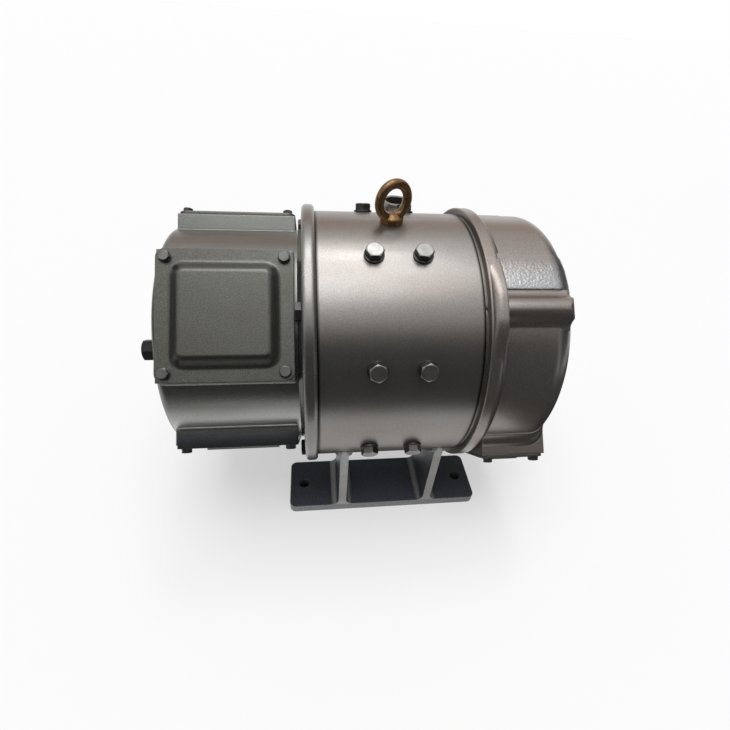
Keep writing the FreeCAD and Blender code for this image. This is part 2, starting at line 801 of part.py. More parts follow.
def make_drive_shield():
    body = new_body("drive_end_shield")
    register = yoke_right - s.spigot_depth
    groove = yoke_right + s.drive_groove_width
    edge, rim = s.drive_edge_radius, s.flange_edge_radius
    turn(body, [
        (register, 0), (register, spigot_radius), (yoke_right, spigot_radius),
        (yoke_right, s.drive_groove_radius), (groove, s.drive_groove_radius), (groove, s.flange_radius),
        (drive_flange_right - rim, s.flange_radius, -rim), (drive_flange_right, flange_shoulder),
        (drive_flange_right, s.drive_drum_radius),
        (drive_end - edge, s.drive_drum_radius, -edge),
        (drive_end, s.drive_drum_radius - edge), (drive_end, 0)])
    for angle in ear_angles:
        sketch = sketch_on(body, "YZ_Plane", drive_flange_right)
        draw_outline(sketch, rotated(ear_outline(), angle))
        raise_pad(body, sketch, s.ear_length)
    crest = s.ear_centre + s.ear_radius
    tip = s.ear_end_radius
    turn(body, [
        (ear_end - tip, crest, -tip), (ear_end, crest - tip), (ear_end + tip, crest - tip),
        (ear_end + tip, crest + tip), (ear_end - tip, crest + tip)], cut=True)
    wall_start = drive_bore - s.drive_drum_wall
    for angle in lower_angles:
        sketch = sketch_on(body, "XY_Plane", wall_start * cosine(s.window_angle), angle)
        draw_rectangle(sketch, drive_pad_middle, as_size(0), drive_pad_length, s.drive_pad_width)
        raise_pad(body, sketch, s.drive_pad_distance - wall_start * cosine(s.window_angle))
    seat = s.drive_bearing_radius + s.bearing_seat_clearance
    mouth = drive_bore - s.drive_drum_wall / 2
    hollow = edge - s.drive_end_wall
    turn(body, [
        (register - s.cut_overrun, 0), (register - s.cut_overrun, mouth), (yoke_right, mouth),
        (drive_flange_right, drive_bore), (drive_inside - hollow, drive_bore, -hollow),
        (drive_inside, drive_bore - hollow), (drive_inside, s.drive_hub_radius),
        (drive_hub_face, s.drive_hub_radius), (drive_hub_face, seat), (drive_end + s.cut_overrun, seat),
        (drive_end + s.cut_overrun, 0)], cut=True)
    for angle in lower_angles:
        window = sketch_on(body, "XY_Plane", (s.drive_hub_radius + drive_bore) / 2, angle)
        draw_rectangle(window, drive_pad_middle, as_size(0), s.drive_window_length, s.drive_window_width)
        sink_pocket(body, window, s.drive_drum_radius)
        taps = sketch_on(body, "XY_Plane", s.drive_pad_distance - s.cover_screw_reach, angle)
        draw_corners(taps, drive_pad_middle, as_size(0), s.drive_screw_along, s.drive_screw_across,
                     s.cover_screw_radius + s.thread_clearance)
        sink_pocket(body, taps, s.cover_screw_reach * 2)
    bosses = sketch_on(body, "YZ_Plane", drive_inside - s.ear_boss_length)
    bolts = sketch_on(body, "YZ_Plane", yoke_right)
    heads = sketch_on(body, "YZ_Plane", ear_head_seat)
    for angle in ear_angles:
        draw_at_angle(bosses, angle, s.shield_bolt_circle, s.ear_boss_radius)
        draw_at_angle(bolts, angle, s.shield_bolt_circle, s.pole_bolt_radius + s.hole_clearance)
        draw_at_angle(heads, angle, s.shield_bolt_circle, s.ear_recess_radius)
    raise_pad(body, bosses, s.ear_boss_length)
    sink_pocket(body, bolts, s.drive_flange_thickness + s.drive_drum_length)
    sink_pocket(body, heads, drive_end - ear_head_seat)
    caps = sketch_on(body, "YZ_Plane", drive_hub_face)
    place = s.drive_cap_screw_circle * cosine(s.window_angle)
    draw_corners(caps, as_size(0), as_size(0), place * 2, place * 2, s.cap_screw_radius + s.hole_clearance)
    sink_pocket(body, caps, s.drive_hub_length)
    part_done(body)


def ear_outline():
    """(across, out) points of a bolt rib's section: round crest, hollow flanks that run out into the drum."""
    root = s.drive_drum_radius - s.ear_sink
    to_axis, to_crest = root + s.ear_flank, s.ear_radius + s.ear_flank
    flank_out = (to_axis * to_axis - to_crest * to_crest + s.ear_centre * s.ear_centre) / (s.ear_centre * 2)
    flank_across = square_root(to_axis * to_axis - flank_out * flank_out)
    foot, foot_out = flank_across * (root / to_axis), flank_out * (root / to_axis)
    side = flank_across * (s.ear_radius / to_crest)
    side_out = s.ear_centre + (flank_out - s.ear_centre) * (s.ear_radius / to_crest)
    deep = s.drive_drum_radius - s.drive_edge_radius - s.ear_radius
    return [(-foot, deep), (foot, deep), (foot, foot_out, -s.ear_flank), (side, side_out, s.ear_radius),
            (0, s.ear_centre + s.ear_radius, s.ear_radius), (-side, side_out, -s.ear_flank),
            (-foot, foot_out)]


def rotated(points, angle):
    """Turns (across, out) points of a YZ sketch to an angle from the top towards -Y."""
    sin_a, cos_a = sine(as_size(angle)), cosine(as_size(angle))
    return [(across * cos_a - out * sin_a, across * sin_a + out * cos_a, *rest) for across, out, *rest in (
        (as_size(point[0]), as_size(point[1]), *point[2:]) for point in points)]


def make_shield_bolts():
    form = (s.pole_bolt_flats, s.pole_bolt_head, s.pole_bolt_radius)
    short = hex_bolt("comm_shield_bolt_master", *form, s.comm_flange_thickness + s.shield_bolt_thread)
    outward = Placement(Vector(comm_flange_left.value, 0, s.shield_bolt_circle.value),
                        Rotation(Vector(0, 1, 0), -90))
    copies("commutator_shield_bolts", short, [about_shaft(angle) * outward for angle in window_angles])
    longer = hex_bolt("drive_shield_bolt_master", *form, ear_head_seat - yoke_right + s.shield_bolt_thread)
    outward = Placement(Vector(ear_head_seat.value, 0, s.shield_bolt_circle.value),
                        Rotation(Vector(0, 1, 0), 90))
    copies("drive_shield_bolts", longer, [about_shaft(angle) * outward for angle in ear_angles])


def cover_blank(label, middle, distance, length, width, along, across):
    """A flat cover plate with rounded corners and its four screw holes, on its gasket."""
    body = new_body(label, on_shaft=False)
    sketch = sketch_on(body, "XY_Plane", distance + s.gasket_thickness)
    draw_rounded(sketch, middle, as_size(0), length, width, s.cover_corner_radius)
    raise_pad(body, sketch, s.cover_sheet)
    holes = sketch_on(body, "XY_Plane", distance)
    draw_corners(holes, middle, as_size(0), along, across, s.cover_screw_radius + s.hole_clearance)
    sink_pocket(body, holes, shell * 2)
    return body


def emboss(body, middle, distance):
    """Pressed-up middle of a closed cover, hollow from below at the sheet's thickness."""
    top = distance + shell
    sketch = sketch_on(body, "XY_Plane", top - s.cover_sheet)
    draw_rounded(sketch, middle, as_size(0), s.emboss_length, s.emboss_width, s.emboss_corner_radius)
    raise_pad(body, sketch, s.emboss_height + s.cover_sheet, taper=-s.emboss_slope)
    inset = s.cover_sheet * 2 * tangent(s.emboss_slope / 2)
    sketch = sketch_on(body, "XY_Plane", top - s.cover_sheet)
    draw_rounded(sketch, middle, as_size(0), s.emboss_length - inset, s.emboss_width - inset,
                 s.emboss_corner_radius)
    sink_pocket(body, sketch, s.emboss_height, taper=-s.emboss_slope)


def add_louvres(body, middle, distance, width, count):
    """Hooded slits across a cover: each hood opens on its lower side."""
    top = distance + shell
    first = -(s.louvre_pitch * (count - 1) / 2)
    for number in range(int(count.value)):
        centre = first + s.louvre_pitch * number
        hood = sketch_on(body, "YZ_Plane", middle - width / 2)
        back, front = centre - s.louvre_depth / 2, centre + s.louvre_depth / 2
        draw_outline(hood, [(back, top - s.cover_sheet), (front, top - s.cover_sheet),
                            (front, top + s.louvre_rise), (front - s.cover_sheet, top + s.louvre_rise)])
        raise_pad(body, hood, width)
        slit = sketch_on(body, "YZ_Plane", middle - width / 2 + s.cover_sheet)
        under, roof = top - s.cover_sheet * 2, top + s.louvre_rise - s.cover_sheet
        mouth = front + s.cut_overrun
        draw_outline(slit, [(back + s.cover_sheet, under), (mouth, under), (mouth, roof),
                            (front - s.cover_sheet, roof)])
        sink_pocket(body, slit, width - s.cover_sheet * 2)


def make_covers():
    comm = (comm_pad_middle, s.comm_pad_distance, s.comm_pad_length, s.comm_pad_width,
            s.comm_screw_along, s.comm_screw_across)
    drive = (drive_pad_middle, s.drive_pad_distance, drive_pad_length, s.drive_pad_width,
             s.drive_screw_along, s.drive_screw_across)
    closed = cover_blank("closed_cover_master", *comm)
    emboss(closed, comm[0], comm[1])
    copies("upper_window_covers", closed, [about_shaft(angle) for angle in upper_angles])
    inlet = cover_blank("inlet_cover_master", *comm)
    add_louvres(inlet, comm[0], comm[1], s.comm_louvre_length, s.comm_louvre_count)
    copies("air_inlet_covers", inlet, hood_down_places(comm_pad_middle))
    outlet = cover_blank("outlet_cover_master", *drive)
    add_louvres(outlet, drive[0], drive[1], s.drive_louvre_length, s.drive_louvre_count)
    copies("air_outlet_covers", outlet, hood_down_places(drive_pad_middle))
    make_gaskets(comm, drive)
    make_cover_screws(comm, drive)


def hood_down_places(middle):
    """Places for the two lower covers of one shield, the first turned about so that both open downwards."""
    half_turn = Placement(Vector(middle.value * 2, 0, 0), Rotation(Vector(0, 0, 1), 180))
    first, second = lower_angles
    return [about_shaft(first) * half_turn, about_shaft(second)]


def make_gaskets(comm, drive):
    shapes = []
    for label, seat, length, width, angles in (
            ("comm_gasket_master", comm, s.comm_window_length, s.comm_window_width, window_angles),
            ("drive_gasket_master", drive, s.drive_window_length, s.drive_window_width, lower_angles)):
        middle, distance, outer_length, outer_width, along, across = seat
        body = new_body(label, on_shaft=False)
        sketch = sketch_on(body, "XY_Plane", distance)
        draw_rounded(sketch, middle, as_size(0), outer_length, outer_width, s.cover_corner_radius)
        raise_pad(body, sketch, s.gasket_thickness)
        sketch = sketch_on(body, "XY_Plane", distance)
        draw_rectangle(sketch, middle, as_size(0), length, width)
        draw_corners(sketch, middle, as_size(0), along, across, s.cover_screw_radius + s.hole_clearance)
        sink_pocket(body, sketch, s.gasket_thickness)
        doc.recompute()
        shapes += [body.Shape.Solids[0].transformed(about_shaft(angle).toMatrix(), True) for angle in angles]
    gaskets = doc.addObject("Part::Feature", "window_gaskets")
    gaskets.Shape = Part.makeCompound(shapes)
    part_done(gaskets)


def make_cover_screws(comm, drive):
    reach = shell + s.cover_screw_reach - s.screw_tip
    screw = hex_bolt("cover_screw_master", s.cover_screw_flats, s.cover_screw_head, s.cover_screw_radius,
                     reach, s.cover_washer_radius, s.cover_washer_thickness)
    places = []
    for (middle, distance, _, _, along, across), angles in ((comm, window_angles), (drive, lower_angles)):
        for angle in angles:
            for side_u in (-1, 1):
                for side_v in (-1, 1):
                    corner = Vector(middle.value + side_u * along.value / 2, side_v * across.value / 2,
                                    distance.value + shell.value)
                    places.append(about_shaft(angle) * Placement(corner, Rotation()))
    copies("cover_screws", screw, places)


def make_bearing(end, left, right, bore, outer, ball):
    """One ball bearing: inner and outer ring with their tracks, and the balls in their cage."""
    middle = (left + right) / 2
    pitch = (bore + outer) / 2
    shoulder = ball * s.race_shoulder
    inner_ring = new_body(end + "_bearing_inner_ring")
    turn(inner_ring, ring(left, right, bore, pitch - shoulder))
    turn_circle(inner_ring, middle, pitch, ball + s.ball_clearance)
    part_done(inner_ring)
    outer_ring = new_body(end + "_bearing_outer_ring")
    turn(outer_ring, ring(left, right, pitch + shoulder, outer))
    turn_circle(outer_ring, middle, pitch, ball + s.ball_clearance)
    part_done(outer_ring)
    half = s.cage_thickness / 2
    cage = new_body(end + "_cage_master")
    rim = ball + s.cage_rim
    turn(cage, ring(middle - rim, middle + rim, pitch - half, pitch + half))
    doc.recompute()
    count = int(s.ball_count.value)
    centre = Vector(middle.value, 0, pitch.value)
    spots = [about_shaft(360 * number / count) * centre for number in range(count)]
    pockets = [Part.makeSphere(ball.value + s.ball_clearance.value, spot) for spot in spots]
    balls = [Part.makeSphere(ball.value, spot) for spot in spots]
    group = doc.addObject("Part::Feature", end + "_ball_cage")
    group.Shape = Part.makeCompound(cage.Shape.cut(pockets).Solids + balls)
    part_done(group)


def make_caps():
    hole = s.cap_screw_radius + s.hole_clearance
    comm_spigot = s.comm_bearing_radius - s.spigot_clearance
    outer = new_body("commutator_outer_cap")
    spring_seat = comm_bearing_left - s.spring_thickness
    rim = s.comm_hub_radius
    hollow = s.comm_bearing_radius - s.cap_rim
    turn(outer, [
        (comm_cap_face, 0), (comm_cap_face, rim), (comm_end, rim), (comm_end, comm_spigot),
        (spring_seat, comm_spigot), (spring_seat, hollow), (comm_cap_face + s.cap_recess, hollow),
        (comm_cap_face + s.cap_recess, 0)])
    drill_cap(outer, comm_cap_face, s.comm_cap_thickness, s.comm_cap_screw_circle, hole)
    part_done(outer)
    inner = new_body("commutator_inner_cap")
    passage = s.comm_seat_radius + s.cap_shaft_clearance
    turn(inner, [
        (comm_bearing_right, hollow), (comm_bearing_right, comm_spigot), (comm_hub_face, comm_spigot),
        (comm_hub_face, rim - s.cap_rim / 2), (comm_hub_face + s.inner_cap_thickness, rim - s.cap_rim / 2),
        (comm_hub_face + s.inner_cap_thickness, passage), (comm_hub_face + s.cap_rim / 2, passage),
        (comm_hub_face + s.cap_rim / 2, hollow)])
    drill_cap(inner, comm_hub_face, s.inner_cap_thickness, s.comm_cap_screw_circle,
              s.cap_screw_radius + s.thread_clearance)
    part_done(inner)
    drive_spigot = s.drive_bearing_radius - s.spigot_clearance
    hollow = s.drive_bearing_radius - s.cap_rim
    rim = s.drive_hub_radius
    outer = new_body("drive_outer_cap")
    passage = s.seal_seat_radius + s.cap_shaft_clearance
    felt_left = drive_cap_face - s.cap_rim / 2 - s.felt_thickness
    turn(outer, [
        (drive_bearing_right, hollow), (drive_bearing_right, drive_spigot), (drive_end, drive_spigot),
        (drive_end, rim), (drive_cap_face, rim), (drive_cap_face, passage),
        (drive_cap_face - s.cap_rim / 2, passage), (drive_cap_face - s.cap_rim / 2, s.felt_radius),
        (felt_left, s.felt_radius), (felt_left, hollow)])
    drill_cap(outer, drive_end, s.drive_cap_thickness, s.drive_cap_screw_circle, hole)
    part_done(outer)
    inner = new_body("drive_inner_cap")
    passage = s.fan_seat_radius + s.cap_shaft_clearance
    face = drive_hub_face - s.inner_cap_thickness
    turn(inner, [
        (face, passage), (face, rim - s.cap_rim / 2), (drive_hub_face, rim - s.cap_rim / 2),
        (drive_hub_face, drive_spigot), (drive_bearing_left, drive_spigot), (drive_bearing_left, hollow),
        (drive_hub_face - s.cap_rim / 2, hollow), (drive_hub_face - s.cap_rim / 2, passage)])
    drill_cap(inner, face, s.inner_cap_thickness, s.drive_cap_screw_circle,
              s.cap_screw_radius + s.thread_clearance)
    part_done(inner)
    felt_bore = s.seal_seat_radius + s.felt_clearance
    turned_part("shaft_felt_seal", ring(felt_left, felt_left + s.felt_thickness, felt_bore, s.felt_radius))
    spring_bore = s.comm_bearing_radius - s.cap_rim
    turned_part("bearing_preload_ring", ring(spring_seat, comm_bearing_left, spring_bore, comm_spigot))
    make_cap_screws()


def drill_cap(body, face, thickness, circle, radius):
    holes = sketch_on(body, "YZ_Plane", face)
    place = circle * cosine(s.window_angle)
    draw_corners(holes, as_size(0), as_size(0), place * 2, place * 2, radius)
    sink_pocket(body, holes, thickness)


def make_cap_screws():
    shapes = []
    for label, grip, seat, circle, lean in (
            ("comm_cap_screw_master", s.comm_cap_thickness + s.comm_hub_length,
             comm_cap_face, s.comm_cap_screw_circle, -90),
            ("drive_cap_screw_master", s.drive_cap_thickness + s.drive_hub_length,
             drive_cap_face, s.drive_cap_screw_circle, 90)):
        reach = grip + s.inner_cap_thickness - s.screw_tip
        screw = hex_bolt(label, s.cap_screw_flats, s.cap_screw_head, s.cap_screw_radius, reach)
        doc.recompute()
        outward = Placement(Vector(seat.value, 0, circle.value), Rotation(Vector(0, 1, 0), lean))
        for angle in window_angles:
            shapes.append(screw.Shape.Solids[0].transformed((about_shaft(angle) * outward).toMatrix(), True))
    screws = doc.addObject("Part::Feature", "bearing_cap_screws")
    screws.Shape = Part.makeCompound(shapes)
    part_done(screws)


def make_shaft():
    body = new_body("shaft")
    tip = drive_cap_face + s.extension_length
    tail = comm_bearing_left - s.shaft_tail
    core_left = commutator_end + s.riser_thickness
    fan_seat = s.fan_start - s.fan_hub_length
    turn(body, [
        (tail, 0), (tail, s.comm_bearing_bore), (comm_bearing_right, s.comm_bearing_bore),
        (comm_bearing_right, s.comm_seat_radius), (core_left, s.comm_seat_radius),
        (core_left, s.core_seat_radius), (fan_seat, s.core_seat_radius), (fan_seat, s.fan_seat_radius),
        (drive_bearing_left, s.fan_seat_radius), (drive_bearing_left, s.drive_bearing_bore),
        (drive_bearing_right, s.drive_bearing_bore),
        (drive_bearing_right, s.seal_seat_radius), (drive_cap_face, s.seal_seat_radius),
        (drive_cap_face, s.extension_radius), (tip - s.extension_chamfer, s.extension_radius),
        (tip, s.extension_radius - s.extension_chamfer), (tip, 0)])
    slot = sketch_on(body, "XY_Plane", s.extension_radius - s.key_depth, s.keyway_angle)
    end = tip - s.keyway_end - s.key_width / 2
    start = end - s.keyway_length + s.key_width
    draw_rectangle(slot, (start + end) / 2, as_size(0), end - start, s.key_width)
    ends = sketch_on(body, "XY_Plane", s.extension_radius - s.key_depth, s.keyway_angle)
    draw_circle(ends, start, 0, s.key_width / 2)
    draw_circle(ends, end, 0, s.key_width / 2)
    sink_pocket(body, slot, s.extension_radius)
    sink_pocket(body, ends, s.extension_radius)
    part_done(body)


def make_armature():
    core = new_body("armature_core")
    turn(core, ring(pole_left, pole_right, s.core_seat_radius, s.armature_radius))
    slot = sketch_on(core, "YZ_Plane", pole_left)
    floor, lip = s.armature_radius - s.slot_depth, s.armature_radius - s.slot_lip
    half, mouth = s.slot_width / 2, s.slot_mouth / 2
    draw_outline(slot, [
        (-half, floor), (half, floor), (half, lip), (mouth, lip), (mouth, s.armature_radius + s.cut_overrun),
        (-mouth, s.armature_radius + s.cut_overrun), (-mouth, lip), (-half, lip)])
    repeat_round(core, [sink_pocket(core, slot, s.pole_length)], s.slot_count)
    vent = sketch_on(core, "YZ_Plane", pole_left)
    draw_circle(vent, 0, s.vent_circle, s.vent_radius)
    repeat_round(core, [sink_pocket(core, vent, s.pole_length)], s.vent_count)
    part_done(core)
    coils = new_body("armature_slot_coils")
    sketch = sketch_on(coils, "YZ_Plane", pole_left)
    inside = half - s.slot_clearance
    low, high = floor + s.slot_clearance, lip - s.slot_clearance
    draw_outline(sketch, [(-inside, low), (inside, low), (inside, high), (-inside, high)])
    repeat_round(coils, [raise_pad(coils, sketch, s.pole_length)], s.slot_count)
    part_done(coils)
    top = s.armature_radius - s.slot_lip
    bottom = top - s.end_winding_depth
    drop = s.end_winding_drop
    left, right = pole_left - s.end_winding_length, pole_right + s.end_winding_length
    turned_part("drive_end_winding", [
        (pole_right, bottom), (right, bottom), (right, top - drop * 2), (right - drop, top - drop),
        (pole_right, top)])
    turned_part("commutator_end_winding", [
        (left, bottom), (pole_left, bottom), (pole_left, top), (left + drop, top - drop),
        (left, top - drop * 2)])


def make_commutator():
    bars = new_body("commutator_bars")
    inner = s.commutator_radius - s.commutator_bar_height
    turn(bars, [
        (s.commutator_start, inner), (commutator_end + s.riser_thickness, inner),
        (commutator_end + s.riser_thickness, s.riser_radius), (commutator_end, s.riser_radius),
        (commutator_end, s.commutator_radius), (s.commutator_start, s.commutator_radius)])
    slit = sketch_on(bars, "YZ_Plane", s.commutator_start)
    draw_rectangle(slit, as_size(0), s.commutator_radius, s.bar_slit, s.bar_undercut * 2)
    repeat_round(bars, [sink_pocket(bars, slit, s.commutator_length)], s.bar_count)
    part_done(bars)
    hub_left = s.commutator_start - s.riser_thickness / 2
    hub_right = commutator_end + s.riser_thickness
    turned_part("commutator_hub", ring(hub_left, hub_right, s.comm_seat_radius, inner))


def make_fan():
    body = new_body("cooling_fan")
    right = s.fan_start
    left = right - s.fan_hub_length
    turn(body, [
        (left, s.fan_seat_radius), (right, s.fan_seat_radius), (right, s.fan_radius),
        (right - s.fan_plate, s.fan_radius), (right - s.fan_plate, s.fan_hub_radius),
        (left, s.fan_hub_radius)])
    blade = sketch_on(body, "YZ_Plane", right)
    height = s.fan_radius - s.fan_blade_inner
    draw_rectangle(blade, as_size(0), s.fan_blade_inner + height / 2, s.fan_blade_thickness, height)
    repeat_round(body, [raise_pad(body, blade, s.fan_blade_width)], s.fan_blade_count)
    part_done(body)


def make_brush_gear():
    rocker = new_body("brush_rocker")
    seat = s.comm_hub_radius + s.rocker_seat_clearance
    turn(rocker, ring(rocker_left, rocker_right, seat, s.rocker_radius))
    slot = sketch_on(rocker, "YZ_Plane", rocker_left)
    low = s.rocker_slot_centre - s.rocker_slot_width / 2
    high = s.rocker_slot_centre + s.rocker_slot_width / 2
    half = s.rocker_slot_length / 2
    corners = [(-half, low), (half, low), (half, high), (-half, high)]
    draw_outline(slot, rotated(corners, s.pole_row_angle * 3))
    repeat_round(rocker, [sink_pocket(rocker, slot, s.rocker_thickness)], pole_count)
    part_done(rocker)
    arm = new_body("brush_arm_master", on_shaft=False)
    sketch = sketch_on(arm, "YZ_Plane", rocker_right)
    draw_circle(sketch, s.arm_offset, s.arm_distance, s.arm_radius)
    raise_pad(arm, sketch, brush_middle + s.brush_length / 2 + s.holder_wall - rocker_right)
    copies("brush_arms", arm, [about_shaft(angle) for angle in main_angles])
    make_holders()
    for number, angle in enumerate(main_angles, start=1):
        make_brush(number, angle)
    lock = hex_bolt("lock_bolt_master", s.lock_bolt_flats, s.lock_bolt_head, s.lock_bolt_radius,
                    s.comm_end_wall + s.rocker_gap - s.brush_gap)
    outward = Placement(Vector(comm_end.value, 0, s.lock_bolt_circle.value), Rotation(Vector(0, 1, 0), -90))
    copies("rocker_lock_bolt", lock, [about_shaft(s.lock_bolt_angle.value) * outward])


def make_holders():
    holder = new_body("brush_holder_master", on_shaft=False)
    base = sketch_on(holder, "XY_Plane", s.holder_base)
    wall = s.holder_wall + s.brush_clearance
    near_side = -(s.brush_width / 2 + wall)
    far_side = s.arm_offset + s.arm_radius + s.holder_wall
    width = far_side - near_side
    draw_rectangle(base, brush_middle, (near_side + far_side) / 2, s.brush_length + wall * 2, width)
    raise_pad(holder, base, s.holder_height)
    guide = sketch_on(holder, "XY_Plane", s.holder_base)
    draw_rectangle(guide, brush_middle, as_size(0), s.brush_length + s.brush_clearance * 2,
                   s.brush_width + s.brush_clearance * 2)
    sink_pocket(holder, guide, s.holder_height)
    clamp = sketch_on(holder, "YZ_Plane", brush_middle - s.brush_length)
    draw_circle(clamp, s.arm_offset, s.arm_distance, s.arm_radius + s.thread_clearance)
    sink_pocket(holder, clamp, s.brush_length * 2)
    copies("brush_holders", holder, [about_shaft(angle) for angle in main_angles])


def make_brush(number, angle):
    block = new_body(f"brush_{number}_master", on_shaft=False)
    face = s.commutator_radius + s.brush_gap
    sketch = sketch_on(block, "XY_Plane", face - s.cut_overrun)
    draw_rectangle(sketch, brush_middle, as_size(0), s.brush_length, s.brush_width)
    raise_pad(block, sketch, s.brush_height + s.cut_overrun)
    turn(block, ring(s.commutator_start, commutator_end, as_size(0), face), cut=True)
    copies(f"brush_{number}", block, [about_shaft(angle)])
    roll = new_body(f"brush_spring_{number}_master", on_shaft=False)
    sketch = sketch_on(roll, "YZ_Plane", brush_middle - s.spring_roll_length / 2)
    middle = face + s.brush_height + s.spring_roll_radius
    draw_circle(sketch, 0, middle, s.spring_roll_radius)
    draw_circle(sketch, 0, middle, s.spring_roll_radius - s.spring_strip)
    raise_pad(roll, sketch, s.spring_roll_length)
    copies(f"brush_spring_{number}", roll, [about_shaft(angle)])


def make_terminal_box():
    box = new_body("terminal_box")
    middle = s.box_base + s.box_height / 2
    sketch = sketch_on(box, "XZ_Plane", -(s.box_back + s.box_depth))
    draw_rounded(sketch, s.box_centre, middle, s.box_length, s.box_height, s.box_corner_radius)
    raise_pad(box, sketch, s.box_depth)
    neck = sketch_on(box, "XZ_Plane", -(s.box_back + s.box_wall))
    draw_rectangle(neck, s.box_centre, as_size(0), s.neck_length, s.neck_height)
    raise_pad(box, neck, s.box_back)
    room = sketch_on(box, "XZ_Plane", -(s.box_back + s.box_depth))
    draw_rectangle(room, s.box_centre, middle, s.box_length - s.box_wall * 2, s.box_height - s.box_wall * 2)
    sink_pocket(box, room, s.box_depth - s.box_wall)
    bosses = sketch_on(box, "XZ_Plane", -(s.box_back + s.box_depth))
    draw_corners(bosses, s.box_centre, middle, lid_along, lid_across, s.lid_screw_inset)
    raise_pad(box, bosses, s.box_depth - s.box_wall / 2)
    taps = sketch_on(box, "XZ_Plane", -(s.box_back + s.box_depth))
    draw_corners(taps, s.box_centre, middle, lid_along, lid_across, s.cover_screw_radius + s.thread_clearance)
    sink_pocket(box, taps, s.cover_screw_reach)
    saddle = sketch_on(box, "YZ_Plane", yoke_left)
    draw_circle(saddle, 0, 0, s.yoke_radius + s.weld_gap)
    sink_pocket(box, saddle, s.yoke_length * 2)
    leads = sketch_on(box, "XZ_Plane")
    draw_circle(leads, s.box_centre, 0, s.lead_hole_radius)
    sink_pocket(box, leads, s.box_back + s.box_wall, outward=False)
    entry = sketch_on(box, "XY_Plane", box_top - s.box_wall)
    draw_circle(entry, s.hub_along, box_middle, s.hub_bore)
    sink_pocket(box, entry, s.box_wall)
    part_plates(box, middle)
    part_done(box)


def part_plates(box, middle):
    """Weld seams that part the box into a back plate, four walls and four corner posts."""
    face = s.box_back + s.box_depth
    back = sketch_on(box, "XZ_Plane", -(s.box_back + s.box_wall + s.weld_gap))
    draw_rectangle(back, s.box_centre, middle, s.box_length * 2, s.box_height * 2)
    sink_pocket(box, back, s.weld_gap)
    upright = sketch_on(box, "XZ_Plane", -face)
    level = sketch_on(box, "XZ_Plane", -face)
    for side in (-1, 1):
        along = s.box_centre + (s.box_length / 2 - s.box_post) * side
        draw_rectangle(upright, along, middle, s.weld_gap, s.box_height * 2)
        up = middle + (s.box_height / 2 - s.box_post) * side
        draw_rectangle(level, s.box_centre, up, s.box_length * 2, s.weld_gap)
    sink_pocket(box, upright, s.box_depth - s.box_wall)
    sink_pocket(box, level, s.box_depth - s.box_wall)


def make_terminal_lid():
    middle = s.box_base + s.box_height / 2
    face = s.box_back + s.box_depth
    for label, start, thickness, inside in (
            ("terminal_gasket", face, s.gasket_thickness, True),
            ("terminal_lid", face + s.gasket_thickness, s.lid_thickness, False)):
        plate = new_body(label)
        sketch = sketch_on(plate, "XZ_Plane", -(start + thickness))
        draw_rounded(sketch, s.box_centre, middle, s.box_length, s.box_height, s.box_corner_radius)
        raise_pad(plate, sketch, thickness)
        holes = sketch_on(plate, "XZ_Plane", -(start + thickness))
        draw_corners(holes, s.box_centre, middle, lid_along, lid_across,
                     s.cover_screw_radius + s.hole_clearance)
        if inside:
            rim = s.terminal_gasket_rim * 2
            draw_rectangle(holes, s.box_centre, middle, s.box_length - rim, s.box_height - rim)
        sink_pocket(plate, holes, thickness)
        part_done(plate)
    reach = s.lid_thickness + s.gasket_thickness + s.cover_screw_reach - s.screw_tip
    screw = hex_bolt("lid_screw_master", s.cover_screw_flats, s.cover_screw_head, s.cover_screw_radius, reach,
                     s.cover_washer_radius, s.cover_washer_thickness)
    seat = face + s.gasket_thickness + s.lid_thickness
    places = []
    for side_u in (-1, 1):
        for side_v in (-1, 1):
            corner = Vector(s.box_centre.value + side_u * lid_along.value / 2, seat.value,
                            middle.value + side_v * lid_across.value / 2)
            places.append(about_shaft(0) * Placement(corner, Rotation(Vector(1, 0, 0), -90)))
    copies("terminal_lid_screws", screw, places)


def make_terminals():
    floor = s.box_back + s.box_wall
    board = new_body("terminal_board")
    sketch = sketch_on(board, "XZ_Plane", -(floor + s.board_thickness))
    draw_rectangle(sketch, s.box_centre, board_centre, s.board_length, s.board_height)
    raise_pad(board, sketch, s.board_thickness)
    first = s.box_centre - s.stud_spacing * (s.stud_count - 1) / 2
    holes = sketch_on(board, "XZ_Plane", -(floor + s.board_thickness))
    for number in range(int(s.stud_count.value)):
        draw_circle(holes, first + s.stud_spacing * number, board_centre, s.stud_radius + s.thread_clearance)
    sink_pocket(board, holes, s.board_thickness)
    part_done(board)
    stud = hex_bolt("terminal_stud_master", s.stud_nut_flats, s.stud_nut_height, s.stud_radius,
                    s.board_thickness)
    tip = sketch_on(stud, "XY_Plane")
    draw_circle(tip, 0, 0, s.stud_radius)
    raise_pad(stud, tip, s.stud_length)
    places = []
    for number in range(int(s.stud_count.value)):
        along = first.value + s.stud_spacing.value * number
        spot = Vector(along, floor.value + s.board_thickness.value, board_centre.value)
        places.append(about_shaft(0) * Placement(spot, Rotation(Vector(1, 0, 0), -90)))
    copies("terminal_studs", stud, places)


def make_cable_hub():
    """Cone-shaped threaded hub on the box's top wall, where a supply cable would go in."""
    hub = new_body("cable_entry_hub", on_shaft=False)
    bind(hub, "Placement.Base.x", s.hub_along)
    bind(hub, "Placement.Base.y", box_middle)
    bind(hub, "Placement.Base.z", s.shaft_height + box_top)
    sketch = sketch_on(hub, "XZ_Plane")
    draw_outline(sketch, [
        (s.hub_bore, 0), (s.hub_base_radius, 0), (s.hub_base_radius, s.hub_foot),
        (s.hub_top_radius, s.hub_height - s.hub_foot), (s.hub_top_radius, s.hub_height),
        (s.hub_bore, s.hub_height)])
    turned = hub.newObject("PartDesign::Revolution", "Turned")
    turned.Profile = sketch
    turned.ReferenceAxis = (sketch, ["V_Axis"])
    turned.Angle = 360
    part_done(hub)


